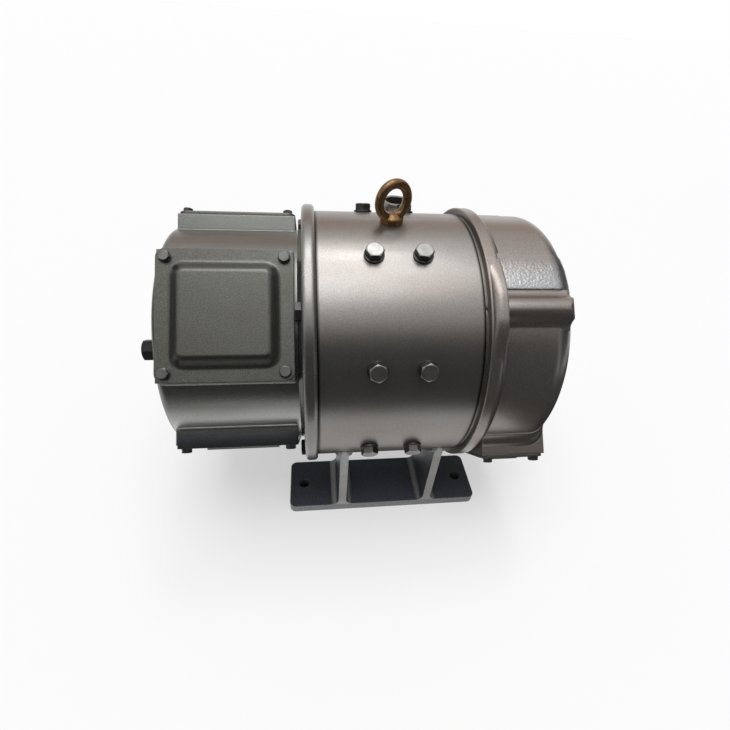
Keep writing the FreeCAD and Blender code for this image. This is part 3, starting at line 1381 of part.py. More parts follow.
def make_eyebolt():
    """Forged lifting eye: ring, flared collar and threaded shank, turned aslant on the yoke's top."""
    seat = s.shaft_height + s.yoke_radius
    ring_height = seat + s.eye_ring_radius + s.eye_ring_section
    eye = doc.addObject("Part::Torus", "eye_ring")
    bind(eye, "Radius1", s.eye_ring_radius)
    bind(eye, "Radius2", s.eye_ring_section)
    eye.Placement = Placement(Vector(), Rotation(Vector(1, 0, 0), 90))
    bind(eye, "Placement.Base.z", ring_height)
    shank = doc.addObject("Part::Cylinder", "eye_shank")
    bind(shank, "Radius", s.eye_thread_radius)
    bind(shank, "Height", s.eye_thread_length + s.eye_collar_height / 2)
    bind(shank, "Placement.Base.z", seat - s.eye_thread_length)
    collar = doc.addObject("Part::Cylinder", "eye_collar")
    bind(collar, "Radius", s.eye_collar_radius)
    bind(collar, "Height", s.eye_collar_height)
    bind(collar, "Placement.Base.z", seat)
    neck = doc.addObject("Part::Cone", "eye_neck")
    bind(neck, "Radius1", s.eye_collar_radius - s.eye_neck_step)
    bind(neck, "Radius2", s.eye_neck_radius)
    bind(neck, "Height", s.eye_neck_height)
    bind(neck, "Placement.Base.z", seat + s.eye_collar_height)
    eyebolt = doc.addObject("Part::MultiFuse", "eyebolt")
    eyebolt.Shapes = [eye, shank, collar, neck]
    eyebolt.Placement = Placement(Vector(), Rotation(Vector(0, 0, 1), s.eye_turn.value))
    bind(eyebolt, "Placement.Base.x", s.yoke_centre)
    part_done(eyebolt)


def write_parts():
    doc.recompute()
    for obj in doc.Objects:
        if "Invalid" in obj.State or "Error" in obj.State:
            raise RuntimeError(f"{obj.Label} did not recompute: {obj.State}")
    os.makedirs("parts", exist_ok=True)
    for obj in sub_parts:
        if obj.Shape.isNull() or not obj.Shape.isValid():
            raise RuntimeError(f"{obj.Label} has no valid shape")
        obj.Shape.exportStep(os.path.join("parts", obj.Label + ".step"))


make_yoke()
make_feet()
make_poles()
make_pole_bolts()
make_commutator_shield()
make_drive_shield()
make_shield_bolts()
make_covers()
make_bearing("commutator", comm_bearing_left, comm_bearing_right, s.comm_bearing_bore, s.comm_bearing_radius,
             s.comm_ball_radius)
make_bearing("drive", drive_bearing_left, drive_bearing_right, s.drive_bearing_bore, s.drive_bearing_radius,
             s.drive_ball_radius)
make_caps()
make_shaft()
make_armature()
make_commutator()
make_fan()
make_brush_gear()
make_terminal_box()
make_terminal_lid()
make_terminals()
make_cable_hub()
make_eyebolt()
write_parts()
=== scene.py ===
import json
import math
import bmesh
import bpy
from mathutils import Matrix, Vector, noise


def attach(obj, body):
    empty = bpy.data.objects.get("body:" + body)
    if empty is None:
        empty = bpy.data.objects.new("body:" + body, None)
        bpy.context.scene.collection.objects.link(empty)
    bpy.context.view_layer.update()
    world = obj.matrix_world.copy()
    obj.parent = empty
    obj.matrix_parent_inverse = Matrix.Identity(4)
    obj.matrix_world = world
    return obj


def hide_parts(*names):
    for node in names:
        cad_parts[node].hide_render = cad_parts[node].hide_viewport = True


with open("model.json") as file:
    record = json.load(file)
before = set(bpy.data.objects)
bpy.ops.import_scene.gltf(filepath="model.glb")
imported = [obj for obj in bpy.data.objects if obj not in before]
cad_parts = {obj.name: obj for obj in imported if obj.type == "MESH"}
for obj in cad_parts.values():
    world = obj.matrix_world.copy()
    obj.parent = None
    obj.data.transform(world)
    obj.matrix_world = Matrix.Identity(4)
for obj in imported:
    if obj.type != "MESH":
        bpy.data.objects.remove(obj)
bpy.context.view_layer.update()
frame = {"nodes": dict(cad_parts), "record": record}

nodes = frame["nodes"]
print("frame loaded:", len(nodes), "nodes")


def startFinish(name):
    material = bpy.data.materials.new(name)
    material.use_nodes = True
    tree = material.node_tree
    return material, tree, tree.nodes["Principled BSDF"]


def addNode(tree, kind, **settings):
    node = tree.nodes.new(kind)
    for setting, value in settings.items():
        setattr(node, setting, value)
    return node


# A number or colour is set on the socket, and another node's output is linked to it.
def feed(tree, socket, value):
    if isinstance(value, bpy.types.NodeSocket):
        tree.links.new(value, socket)
    elif isinstance(value, tuple):
        socket.default_value = (*value, 1.0)
    else:
        socket.default_value = value


def calculate(tree, operation, *values):
    node = addNode(tree, "ShaderNodeMath", operation=operation)
    for socket, value in zip(node.inputs, values):
        feed(tree, socket, value)
    return node.outputs["Value"]


def mixShaders(tree, factor, first, second):
    mix = addNode(tree, "ShaderNodeMixShader")
    for socket, value in zip(mix.inputs, (factor, first, second)):
        tree.links.new(value, socket)
    return mix.outputs["Shader"]


colourSockets = {"factor": 0, "first": 6, "second": 7, "result": 2}    # of a Mix node set to colours


def mixColour(tree, factor, first, second, blend="MIX"):
    mix = addNode(tree, "ShaderNodeMix", data_type="RGBA", blend_type=blend)
    feed(tree, mix.inputs[colourSockets["factor"]], factor)
    feed(tree, mix.inputs[colourSockets["first"]], first)
    feed(tree, mix.inputs[colourSockets["second"]], second)
    return mix.outputs[colourSockets["result"]]


def noiseOn(tree, scale, detail, stretch=(1.0, 1.0, 1.0)):
    place = addNode(tree, "ShaderNodeTexCoord")
    mapping = addNode(tree, "ShaderNodeMapping")
    mapping.inputs["Scale"].default_value = stretch
    cloud = addNode(tree, "ShaderNodeTexNoise")
    cloud.inputs["Scale"].default_value = scale
    cloud.inputs["Detail"].default_value = detail
    tree.links.new(place.outputs["Object"], mapping.inputs["Vector"])
    tree.links.new(mapping.outputs["Vector"], cloud.inputs["Vector"])
    return cloud.outputs["Fac"]


def spread(tree, value, low, high, toLow=0.0, toHigh=1.0):
    span = addNode(tree, "ShaderNodeMapRange")
    limits = {"From Min": low, "From Max": high, "To Min": toLow, "To Max": toHigh}
    for socket, number in limits.items():
        span.inputs[socket].default_value = number
    tree.links.new(value, span.inputs["Value"])
    return span.outputs["Result"]


def placeAlong(tree, axis):
    place = addNode(tree, "ShaderNodeTexCoord")
    parts = addNode(tree, "ShaderNodeSeparateXYZ")
    tree.links.new(place.outputs["Object"], parts.inputs["Vector"])
    return parts.outputs[axis]


# 1 on faces square to the axis, or square to the line between two axes, and 0 on the others.
def facesAlong(tree, surface, axes, limits):
    parts = addNode(tree, "ShaderNodeSeparateXYZ")
    tree.links.new(surface.outputs["Normal"], parts.inputs["Vector"])
    product = calculate(tree, "MULTIPLY", *[parts.outputs[axis] for axis in axes])
    return spread(tree, calculate(tree, "ABSOLUTE", product), *limits)


# 0 near the middle of a run along one axis, 1 past both its ends.
def nearJoints(tree, look):
    offset = calculate(tree, "SUBTRACT", placeAlong(tree, look["jointAxis"]), look["jointMiddle"])
    distance = calculate(tree, "ABSOLUTE", offset)
    return spread(tree, distance, look["jointHalf"] - look["jointWidth"], look["jointHalf"])


# 1 low down on the sides, 0 over the first height and on faces turned another way; where it is 1 the paint
# is lightened as a painted reflection of the floor.
def lowReflectionMask(tree, surface, look):
    low = spread(tree, placeAlong(tree, "Z"), *look["lowFrom"])
    return calculate(tree, "MULTIPLY", low, facesAlong(tree, surface, look["lowAxes"], look["lowFacing"]))


# What all paints share: where an edge, a patch and a grain start and end.
paintMarks = {
    "edgeFrom": (0.995, 0.80), "edgeSamples": 4, "patchFrom": (0.38, 0.66), "patchDetail": 3.0,
    "patchStretch": (0.35, 1.0, 1.0), "grainFrom": (0.3, 0.7), "grainDetail": 1.0,
}


def roundedNormal(tree, radius, samples):
    rounded = addNode(tree, "ShaderNodeBevel", samples=samples)
    rounded.inputs["Radius"].default_value = radius
    return rounded.outputs["Normal"]


# Paint over steel or castings: two tones in soft patches, a fine grain, rubbed edges that are also lightened
# as a painted highlight. Some paints also lighten low sides as a painted reflection of the floor, darken
# faces turned one way (painted shade on the shield's pad walls and the ribs' sides, a darker tone on the
# feet's tops) and change colour at the joints (dirt and painted shade at the yoke's ends, a tone elsewhere).
def paintFinish(name, look):
    material, tree, shader = startFinish(name)
    rounded = roundedNormal(tree, look["edgeRadius"], paintMarks["edgeSamples"])
    surface = addNode(tree, "ShaderNodeNewGeometry")
    facing = addNode(tree, "ShaderNodeVectorMath", operation="DOT_PRODUCT")
    tree.links.new(rounded, facing.inputs[0])
    tree.links.new(surface.outputs["Normal"], facing.inputs[1])
    # Rounded edges turn lighter: rubbed paint and a painted highlight along them.
    edge = spread(tree, facing.outputs["Value"], *paintMarks["edgeFrom"], 0.0, look["wornEdgeAndHighlightShare"])
    cloud = noiseOn(tree, look["patchScale"], paintMarks["patchDetail"], paintMarks["patchStretch"])
    patches = spread(tree, cloud, *paintMarks["patchFrom"])
    grain = noiseOn(tree, look["grainScale"], paintMarks["grainDetail"])
    tone = mixColour(tree, patches, look["colour"], look["patchColour"])
    # A painted reflection of the floor lightens the low sides.
    if "lowPaintedReflection" in look:
        tone = mixColour(tree, lowReflectionMask(tree, surface, look), tone, look["lowPaintedReflection"])
    # Faces turned one way change colour: painted shade on the pad walls and the ribs' sides, a darker tone
    # on the feet's tops.
    if "faceToneAndShade" in look:
        toneAndShadeFaces = facesAlong(tree, surface, look["faceAxes"], look["faceFrom"])
        tone = mixColour(tree, toneAndShadeFaces, tone, look["faceToneAndShade"])
    # Joints change colour: dirt and painted shade at the yoke's ends, a tone on the shield and the cast
    # skin.
    if "jointToneAndShade" in look:
        tone = mixColour(tree, nearJoints(tree, look), tone, look["jointToneAndShade"])
    grainTone = spread(tree, grain, *paintMarks["grainFrom"], 1.0 - look["grain"], 1.0 + look["grain"])
    grained = mixColour(tree, 1.0, tone, grainTone, "MULTIPLY")
    tree.links.new(mixColour(tree, edge, grained, look["wornEdgeAndHighlightColour"]), shader.inputs["Base Color"])
    shine = spread(tree, patches, 0.0, 1.0, look["roughness"], look["roughness"] + look["dulling"])
    tree.links.new(shine, shader.inputs["Roughness"])
    shader.inputs["Metallic"].default_value = look["metallic"]
    bump = addNode(tree, "ShaderNodeBump")
    bump.inputs["Strength"].default_value = look["bump"]
    bump.inputs["Distance"].default_value = look["bumpHeight"]
    tree.links.new(grain, bump.inputs["Height"])
    tree.links.new(rounded, bump.inputs["Normal"])
    tree.links.new(bump.outputs["Normal"], shader.inputs["Normal"])
    return material


framePaint = {
    "colour": (0.260, 0.254, 0.247), "patchColour": (0.228, 0.204, 0.187), "patchScale": 11.0,
    "grain": 0.16, "grainScale": 1100.0, "metallic": 0.9, "roughness": 0.30, "dulling": 0.06,
    "wornEdgeAndHighlightColour": (0.30, 0.29, 0.28), "wornEdgeAndHighlightShare": 0.5, "edgeRadius": 0.0012,
    "bump": 0.25, "bumpHeight": 0.0004,
}
paints = {
    "yokePaint": {
        **framePaint, "wornEdgeAndHighlightShare": 0.0,
        # Dark ends against the flanges: dirt and painted shade in the joints.
        "jointToneAndShade": (0.020, 0.018, 0.017), "jointAxis": "X", "jointMiddle": -0.006, "jointHalf": 0.0820,
        "jointWidth": 0.0024,
    },
    "framePaint": framePaint,
    "shieldCasting": {
        "colour": (0.205, 0.210, 0.202), "patchColour": (0.165, 0.163, 0.150), "patchScale": 14.0,
        "grain": 0.14, "grainScale": 1000.0, "metallic": 0.85, "roughness": 0.26, "dulling": 0.07,
        "wornEdgeAndHighlightColour": (0.40, 0.40, 0.39), "wornEdgeAndHighlightShare": 0.8, "edgeRadius": 0.0026,
        "bump": 0.3, "bumpHeight": 0.0002,
        # Low front and back faces lightened as a painted reflection of the floor.
        "lowPaintedReflection": (0.500, 0.505, 0.492), "lowFrom": (0.203, 0.172), "lowAxes": "YY",
        "lowFacing": (0.60, 0.85),
        # Faces at 45 degrees about the shaft, the pad walls among them, darkened as painted shade.
        "faceToneAndShade": (0.105, 0.108, 0.100), "faceAxes": "YZ", "faceFrom": (0.43, 0.49),
        "jointToneAndShade": (0.214, 0.206, 0.196), "jointAxis": "X", "jointMiddle": -0.200, "jointHalf": 0.0980,
        "jointWidth": 0.0016,
    },
    "driveCasting": {
        "colour": (0.279, 0.258, 0.244), "patchColour": (0.225, 0.190, 0.170), "patchScale": 14.0,
        "grain": 0.14, "grainScale": 700.0, "metallic": 0.85, "roughness": 0.29, "dulling": 0.07,
        "wornEdgeAndHighlightColour": (0.38, 0.37, 0.36), "wornEdgeAndHighlightShare": 0.6, "edgeRadius": 0.0026,
        "bump": 0.3, "bumpHeight": 0.0003,
    },
    "castSkin": {
        # Lighter and cooler than the drum: the skin's own tone, lightened in part as a painted reflection.
        "colour": (0.350, 0.354, 0.364), "patchColour": (0.320, 0.318, 0.320), "patchScale": 30.0,
        "grain": 0.14, "grainScale": 700.0, "metallic": 0.85, "roughness": 0.29, "dulling": 0.07,
        "wornEdgeAndHighlightColour": (0.38, 0.37, 0.36), "wornEdgeAndHighlightShare": 0.0, "edgeRadius": 0.0006,
        "bump": 0.3, "bumpHeight": 0.0003,
        "jointToneAndShade": (0.262, 0.237, 0.222), "jointAxis": "Z", "jointMiddle": 0.300, "jointHalf": 0.0380,
        "jointWidth": 0.0130,
    },
    "coverPaint": {
        "colour": (0.104, 0.107, 0.097), "patchColour": (0.092, 0.089, 0.078), "patchScale": 18.0,
        "grain": 0.30, "grainScale": 1100.0, "metallic": 0.85, "roughness": 0.32, "dulling": 0.06,
        "wornEdgeAndHighlightColour": (0.26, 0.26, 0.24), "wornEdgeAndHighlightShare": 0.5, "edgeRadius": 0.0008,
        "bump": 0.3, "bumpHeight": 0.0003,
    },
    "paintedShadeSheet": {
        # Near black: painted shade on the pad walls under the covers.
        "colour": (0.024, 0.028, 0.033), "patchColour": (0.020, 0.021, 0.023), "patchScale": 20.0,
        "grain": 0.2, "grainScale": 600.0, "metallic": 0.4, "roughness": 0.42, "dulling": 0.08,
        "wornEdgeAndHighlightColour": (0.20, 0.20, 0.20), "wornEdgeAndHighlightShare": 0.5, "edgeRadius": 0.0006,
        "bump": 0.3, "bumpHeight": 0.0004,
    },
    "footPaint": {
        "colour": (0.190, 0.194, 0.202), "patchColour": (0.150, 0.150, 0.152), "patchScale": 20.0,
        "faceToneAndShade": (0.085, 0.094, 0.115), "faceAxes": "ZZ", "faceFrom": (0.30, 0.72),
        "grain": 0.22, "grainScale": 600.0, "metallic": 0.5, "roughness": 0.45, "dulling": 0.1,
        "wornEdgeAndHighlightColour": (0.22, 0.22, 0.22), "wornEdgeAndHighlightShare": 0.6, "edgeRadius": 0.0012,
        "bump": 0.4, "bumpHeight": 0.0006,
    },
    "ribPaint": {
        "colour": (0.300, 0.298, 0.296), "patchColour": (0.235, 0.225, 0.215), "patchScale": 20.0,
        # Side faces darkened as painted shade, against the lighter front and top.
        "faceToneAndShade": (0.075, 0.080, 0.092), "faceAxes": "XX", "faceFrom": (0.30, 0.72),
        "grain": 0.18, "grainScale": 600.0, "metallic": 0.4, "roughness": 0.42, "dulling": 0.1,
        "wornEdgeAndHighlightColour": (0.30, 0.30, 0.30), "wornEdgeAndHighlightShare": 0.6, "edgeRadius": 0.0014,
        "bump": 0.4, "bumpHeight": 0.0006,
    },
}


metalMarks = {
    "dirtFrom": (0.45, 0.75), "dirtDetail": 3.0, "markFrom": (0.3, 0.7), "markDetail": 2.0,
    "smoother": 0.06, "rougher": 0.08, "edgeSamples": 4,
}


# Bare and plated metal: one colour, a little dirt in patches, fine marks.
def metalFinish(name, look):
    material, tree, shader = startFinish(name)
    dirt = spread(tree, noiseOn(tree, look["dirtScale"], metalMarks["dirtDetail"]), *metalMarks["dirtFrom"])
    tree.links.new(mixColour(tree, dirt, look["colour"], look["dirtColour"]), shader.inputs["Base Color"])
    marks = noiseOn(tree, look["markScale"], metalMarks["markDetail"])
    smooth, rough = look["roughness"] - metalMarks["smoother"], look["roughness"] + metalMarks["rougher"]
    tree.links.new(spread(tree, marks, *metalMarks["markFrom"], smooth, rough), shader.inputs["Roughness"])
    shader.inputs["Metallic"].default_value = look["metallic"]
    rounded = roundedNormal(tree, look["edgeRadius"], metalMarks["edgeSamples"])
    tree.links.new(rounded, shader.inputs["Normal"])
    return material


metals = {
    "boltSteel": {
        "colour": (0.270, 0.264, 0.256), "dirtColour": (0.170, 0.158, 0.150), "dirtScale": 60.0,
        "markScale": 300.0, "metallic": 0.9, "roughness": 0.36, "edgeRadius": 0.0006,
    },
    "screwSteel": {
        "colour": (0.135, 0.135, 0.128), "dirtColour": (0.080, 0.076, 0.070), "dirtScale": 60.0,
        "markScale": 300.0, "metallic": 0.9, "roughness": 0.36, "edgeRadius": 0.0006,
    },
    # A darker copy of the bolt steel: painted shade on flanks and washers, with dirt.
    "boltFlanksDirtAndShade": {
        "colour": (0.070, 0.066, 0.064), "dirtColour": (0.050, 0.045, 0.042), "dirtScale": 60.0,
        "markScale": 300.0, "metallic": 0.8, "roughness": 0.36, "edgeRadius": 0.0006,
    },
    "blackBolt": {
        "colour": (0.012, 0.012, 0.013), "dirtColour": (0.022, 0.020, 0.019), "dirtScale": 70.0,
        "markScale": 300.0, "metallic": 0.9, "roughness": 0.45, "edgeRadius": 0.0008,
    },
    "brightSteel": {
        "colour": (0.62, 0.61, 0.60), "dirtColour": (0.45, 0.44, 0.43), "dirtScale": 30.0,
        "markScale": 400.0, "metallic": 1.0, "roughness": 0.24, "edgeRadius": 0.0005,
    },
    "eyeZinc": {
        "colour": (0.226, 0.135, 0.058), "dirtColour": (0.068, 0.036, 0.024), "dirtScale": 38.0,
        "markScale": 500.0, "metallic": 0.85, "roughness": 0.28, "edgeRadius": 0.0010,
    },
    "poleSteel": {
        "colour": (0.30, 0.30, 0.31), "dirtColour": (0.20, 0.19, 0.18), "dirtScale": 40.0,
        "markScale": 300.0, "metallic": 0.9, "roughness": 0.45, "edgeRadius": 0.0005,
    },
    "coreSteel": {
        "colour": (0.34, 0.34, 0.35), "dirtColour": (0.22, 0.21, 0.20), "dirtScale": 40.0,
        "markScale": 700.0, "metallic": 0.9, "roughness": 0.40, "edgeRadius": 0.0004,
    },
    "copperCoil": {
        "colour": (0.42, 0.16, 0.07), "dirtColour": (0.26, 0.09, 0.04), "dirtScale": 50.0,
        "markScale": 500.0, "metallic": 0.55, "roughness": 0.38, "edgeRadius": 0.0010,
    },
    "commutatorCopper": {
        "colour": (0.62, 0.30, 0.17), "dirtColour": (0.40, 0.19, 0.11), "dirtScale": 60.0,
        "markScale": 400.0, "metallic": 1.0, "roughness": 0.30, "edgeRadius": 0.0003,
    },
    "fanMetal": {
        "colour": (0.52, 0.52, 0.53), "dirtColour": (0.38, 0.38, 0.38), "dirtScale": 30.0,
        "markScale": 300.0, "metallic": 0.95, "roughness": 0.42, "edgeRadius": 0.0006,
    },
    "holderBrass": {
        "colour": (0.60, 0.43, 0.17), "dirtColour": (0.38, 0.25, 0.10), "dirtScale": 60.0,
        "markScale": 400.0, "metallic": 1.0, "roughness": 0.34, "edgeRadius": 0.0004,
    },
    "springSteel": {
        "colour": (0.36, 0.36, 0.38), "dirtColour": (0.26, 0.25, 0.25), "dirtScale": 80.0,
        "markScale": 500.0, "metallic": 1.0, "roughness": 0.30, "edgeRadius": 0.0002,
    },
    "studBrass": {
        "colour": (0.62, 0.45, 0.19), "dirtColour": (0.42, 0.29, 0.12), "dirtScale": 80.0,
        "markScale": 400.0, "metallic": 1.0, "roughness": 0.30, "edgeRadius": 0.0003,
    },
    "hubMoulding": {
        "colour": (0.05, 0.045, 0.04), "dirtColour": (0.08, 0.06, 0.05), "dirtScale": 60.0,
        "markScale": 400.0, "metallic": 0.0, "roughness": 0.50, "edgeRadius": 0.0005,
    },
    "brushCarbon": {
        "colour": (0.035, 0.035, 0.036), "dirtColour": (0.055, 0.053, 0.05), "dirtScale": 120.0,
        "markScale": 800.0, "metallic": 0.1, "roughness": 0.62, "edgeRadius": 0.0003,
    },
    "rockerPaint": {
        "colour": (0.22, 0.22, 0.22), "dirtColour": (0.15, 0.14, 0.13), "dirtScale": 40.0,
        "markScale": 300.0, "metallic": 0.3, "roughness": 0.48, "edgeRadius": 0.0008,
    },
    "gasketRubber": {
        "colour": (0.035, 0.035, 0.035), "dirtColour": (0.06, 0.055, 0.05), "dirtScale": 60.0,
        "markScale": 400.0, "metallic": 0.0, "roughness": 0.65, "edgeRadius": 0.0003,
    },
    "felt": {
        "colour": (0.30, 0.27, 0.22), "dirtColour": (0.20, 0.18, 0.15), "dirtScale": 90.0,
        "markScale": 900.0, "metallic": 0.0, "roughness": 0.85, "edgeRadius": 0.0004,
    },
    "boardResin": {
        "colour": (0.24, 0.13, 0.06), "dirtColour": (0.18, 0.10, 0.05), "dirtScale": 40.0,
        "markScale": 400.0, "metallic": 0.0, "roughness": 0.45, "edgeRadius": 0.0004,
    },
}

finishes = {name: paintFinish(name, look) for name, look in paints.items()}
finishes.update({name: metalFinish(name, look) for name, look in metals.items()})
print("finishes made:", len(finishes))


# Every CAD node takes a finish.
wornBy = {
    "yokePaint": ["yoke"],
    "framePaint": ["terminal_box", "terminal_lid", "cable_entry_hub"],
    "shieldCasting": [
        "commutator_end_shield", "commutator_outer_cap", "commutator_inner_cap",
    ],
    "driveCasting": ["drive_end_shield", "drive_outer_cap", "drive_inner_cap"],
    "coverPaint": ["upper_window_covers", "air_inlet_covers", "air_outlet_covers"],
    "footPaint": ["foot_plates"],
    "ribPaint": ["foot_ribs"],
    "boltSteel": [
        "pole_bolts", "commutator_shield_bolts", "drive_shield_bolts", "cover_screws",
        "bearing_cap_screws", "terminal_lid_screws",
    ],
    "blackBolt": ["rocker_lock_bolt"],
    "brightSteel": [
        "shaft", "commutator_bearing_inner_ring", "commutator_bearing_outer_ring",
        "drive_bearing_inner_ring", "drive_bearing_outer_ring", "commutator_ball_cage",
        "drive_ball_cage",
    ],
    "eyeZinc": ["eyebolt"],
    "poleSteel": ["main_pole_cores", "interpole_cores"],
    "coreSteel": ["armature_core"],
    "copperCoil": [
        "main_field_coils", "interpole_coils", "armature_slot_coils", "commutator_end_winding",
        "drive_end_winding",
    ],
    "commutatorCopper": ["commutator_bars"],
    "hubMoulding": ["commutator_hub"],
    "fanMetal": ["cooling_fan"],
    "holderBrass": ["brush_holders", "brush_arms"],
    "springSteel": ["brush_spring_1", "brush_spring_2", "brush_spring_3", "brush_spring_4",
                    "bearing_preload_ring"],
    "brushCarbon": ["brush_1", "brush_2", "brush_3", "brush_4"],
    "rockerPaint": ["brush_rocker"],
    "gasketRubber": ["window_gaskets", "terminal_gasket"],
    "felt": ["shaft_felt_seal"],
    "boardResin": ["terminal_board"],
    "studBrass": ["terminal_studs"],
}

for finishName, nodeNames in wornBy.items():
    for nodeName in nodeNames:
        nodes[nodeName].data.materials.clear()
        nodes[nodeName].data.materials.append(finishes[finishName])
plain = set(nodes) - {name for names in wornBy.values() for name in names}
print("nodes without a finish:", sorted(plain))


mounts = {mount["name"]: mount for mount in frame["record"]["mounts"]}
axisHeight = Vector(mounts["shaft_extension"]["pos_m"]).z    # the shaft's height over the base
mergeGap = 1e-6
halfUnit = 0.5    # grids are made one unit wide, about their middle


def aboutShaft(angle):
    return Matrix.Translation((0.0, 0.0, axisHeight)) @ Matrix.Rotation(math.radians(angle), 4, "X")


# A closed mesh in its own place, smooth but for edges sharper than the angle.
def finishPiece(name, shape, worn, sharpAngle):
    bmesh.ops.remove_doubles(shape, verts=shape.verts, dist=mergeGap)
    bmesh.ops.recalc_face_normals(shape, faces=shape.faces)
    for face in shape.faces:
        face.smooth = True
    for edge in shape.edges:
        edge.smooth = len(edge.link_faces) == 2 and edge.calc_face_angle() < math.radians(sharpAngle)
    mesh = bpy.data.meshes.new(name)
    shape.to_mesh(mesh)
    shape.free()
    for finish in worn:
        mesh.materials.append(finishes[finish])
    piece = bpy.data.objects.new(name, mesh)
    bpy.context.scene.collection.objects.link(piece)
    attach(piece, "frame")
    return piece


def addCopies(target, master, places):
    mesh = bpy.data.meshes.new("master")
    master.to_mesh(mesh)
    for place in places:
        before = len(target.verts)
        target.from_mesh(mesh)
        target.verts.ensure_lookup_table()
        bmesh.ops.transform(target, matrix=place, verts=target.verts[before:])
    master.free()
    bpy.data.meshes.remove(mesh)


# Hexagon bolts and screws.
boltForms = {
    "poleBolt": {"flats": 0.017, "head": 0.0076, "washerRadius": 0.0105, "washer": 0.002},
    "shieldBolt": {"flats": 0.017, "head": 0.0064, "washerRadius": 0.0, "washer": 0.0},
    "coverScrew": {"flats": 0.010, "head": 0.0042, "washerRadius": 0.0062, "washer": 0.0012},
    "capScrew": {"flats": 0.010, "head": 0.0042, "washerRadius": 0.0, "washer": 0.0},
    "lockBolt": {"flats": 0.019, "head": 0.0125, "washerRadius": 0.0, "washer": 0.0},
}
boltMesh = {
    "headSides": 24, "crownShare": 0.47, "sideTurn": math.radians(60),
    "chamferSlope": math.tan(math.radians(30)), "topFacing": 0.3, "turnStep": 49,
    "washerSides": 32, "washerRound": 0.0002, "washerSteps": 2, "sharpAngle": 25.0,
}
# The flanks and washers finish is darker: painted shade, with dirt.
headFinish = ["boltSteel", "boltFlanksDirtAndShade"]    # tops, then flanks and washers
screwFinish = ["screwSteel", "boltFlanksDirtAndShade"]


# Head up +Z with its seat at the origin; its top is turned to a chamfer.
def hexBolt(form):
    shape = bmesh.new()
    crown = form["flats"] * boltMesh["crownShare"]
    top = form["washer"] + form["head"]
    lightFrom = form["washer"] + form["head"] / 2
    bmesh.ops.create_circle(shape, cap_ends=True, segments=boltMesh["headSides"], radius=crown)
    bmesh.ops.translate(shape, vec=(0.0, 0.0, top), verts=shape.verts)
    rim = [edge for edge in shape.edges if edge.is_boundary]
    grown = bmesh.ops.extrude_edge_only(shape, edges=rim)["geom"]
    for vert in [item for item in grown if isinstance(item, bmesh.types.BMVert)]:
        turned = math.atan2(vert.co.y, vert.co.x)
        fromFlat = (turned % boltMesh["sideTurn"]) - boltMesh["sideTurn"] / 2
        reach = form["flats"] / 2 / math.cos(fromFlat)
        vert.co.x, vert.co.y = reach * math.cos(turned), reach * math.sin(turned)
        vert.co.z = top - (reach - crown) * boltMesh["chamferSlope"]
    rim = [edge for edge in shape.edges if edge.is_boundary]
    grown = bmesh.ops.extrude_edge_only(shape, edges=rim)["geom"]
    for vert in [item for item in grown if isinstance(item, bmesh.types.BMVert)]:
        vert.co.z = form["washer"]
    bmesh.ops.holes_fill(shape, edges=[edge for edge in shape.edges if edge.is_boundary], sides=0)
    if form["washerRadius"]:
        made = bmesh.ops.create_cone(
            shape, cap_ends=True, segments=boltMesh["washerSides"], radius1=form["washerRadius"],
            radius2=form["washerRadius"], depth=form["washer"])["verts"]
        bmesh.ops.translate(shape, vec=(0.0, 0.0, form["washer"] / 2), verts=made)
        upper = [edge for edge in shape.edges if all(
            vert in made and abs(vert.co.z - form["washer"]) < mergeGap for vert in edge.verts)]
        bmesh.ops.bevel(shape, geom=upper, offset=boltMesh["washerRound"], offset_type="OFFSET",
                        affect="EDGES", segments=boltMesh["washerSteps"], profile=0.5, material=-1)
    bmesh.ops.recalc_face_normals(shape, faces=shape.faces)
    # Tops take the lit steel, flanks and washers the darker copy with painted shade.
    for face in shape.faces:
        onTop = face.normal.z > boltMesh["topFacing"] and face.calc_center_median().z > lightFrom
        face.material_index = 0 if onTop else 1
    return shape


# Tightened heads stop at any turn.
def spun(place, number):
    return place @ Matrix.Rotation(math.radians(boltMesh["turnStep"] * number), 4, "Z")


def boltPiece(name, form, places, worn, *replaced):
    shape = bmesh.new()
    for number, place in enumerate(places):
        addCopies(shape, hexBolt(boltForms[form]), [spun(place, number)])
    piece = finishPiece(name, shape, worn, boltMesh["sharpAngle"])
    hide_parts(*replaced)


frameSizes = {
    "yokeRadius": 0.150, "yokeMiddle": -0.006, "poleBoltSpacing": 0.050, "poleRow": 22.5, "rows": 8,
    "commFlangeFace": -0.103, "shieldBoltCircle": 0.142, "earBoltSeat": 0.150,
    "commCapFace": -0.2555, "commCapCircle": 0.046, "driveCapFace": 0.188, "driveCapCircle": 0.057,
    "commEnd": -0.2465, "lockCircle": 0.107, "lockAngle": 61,
}
windowAngles = (45, 135, 225, 315)
earAngles = (45, -45, 180)
lowerAngles = (135, 225)
towardLeft = Matrix.Rotation(math.radians(-90), 4, "Y")
towardRight = Matrix.Rotation(math.radians(90), 4, "Y")


def endPlaces(angles, along, distance, turn):
    return [aboutShaft(angle) @ Matrix.Translation((along, 0.0, distance)) @ turn for angle in angles]


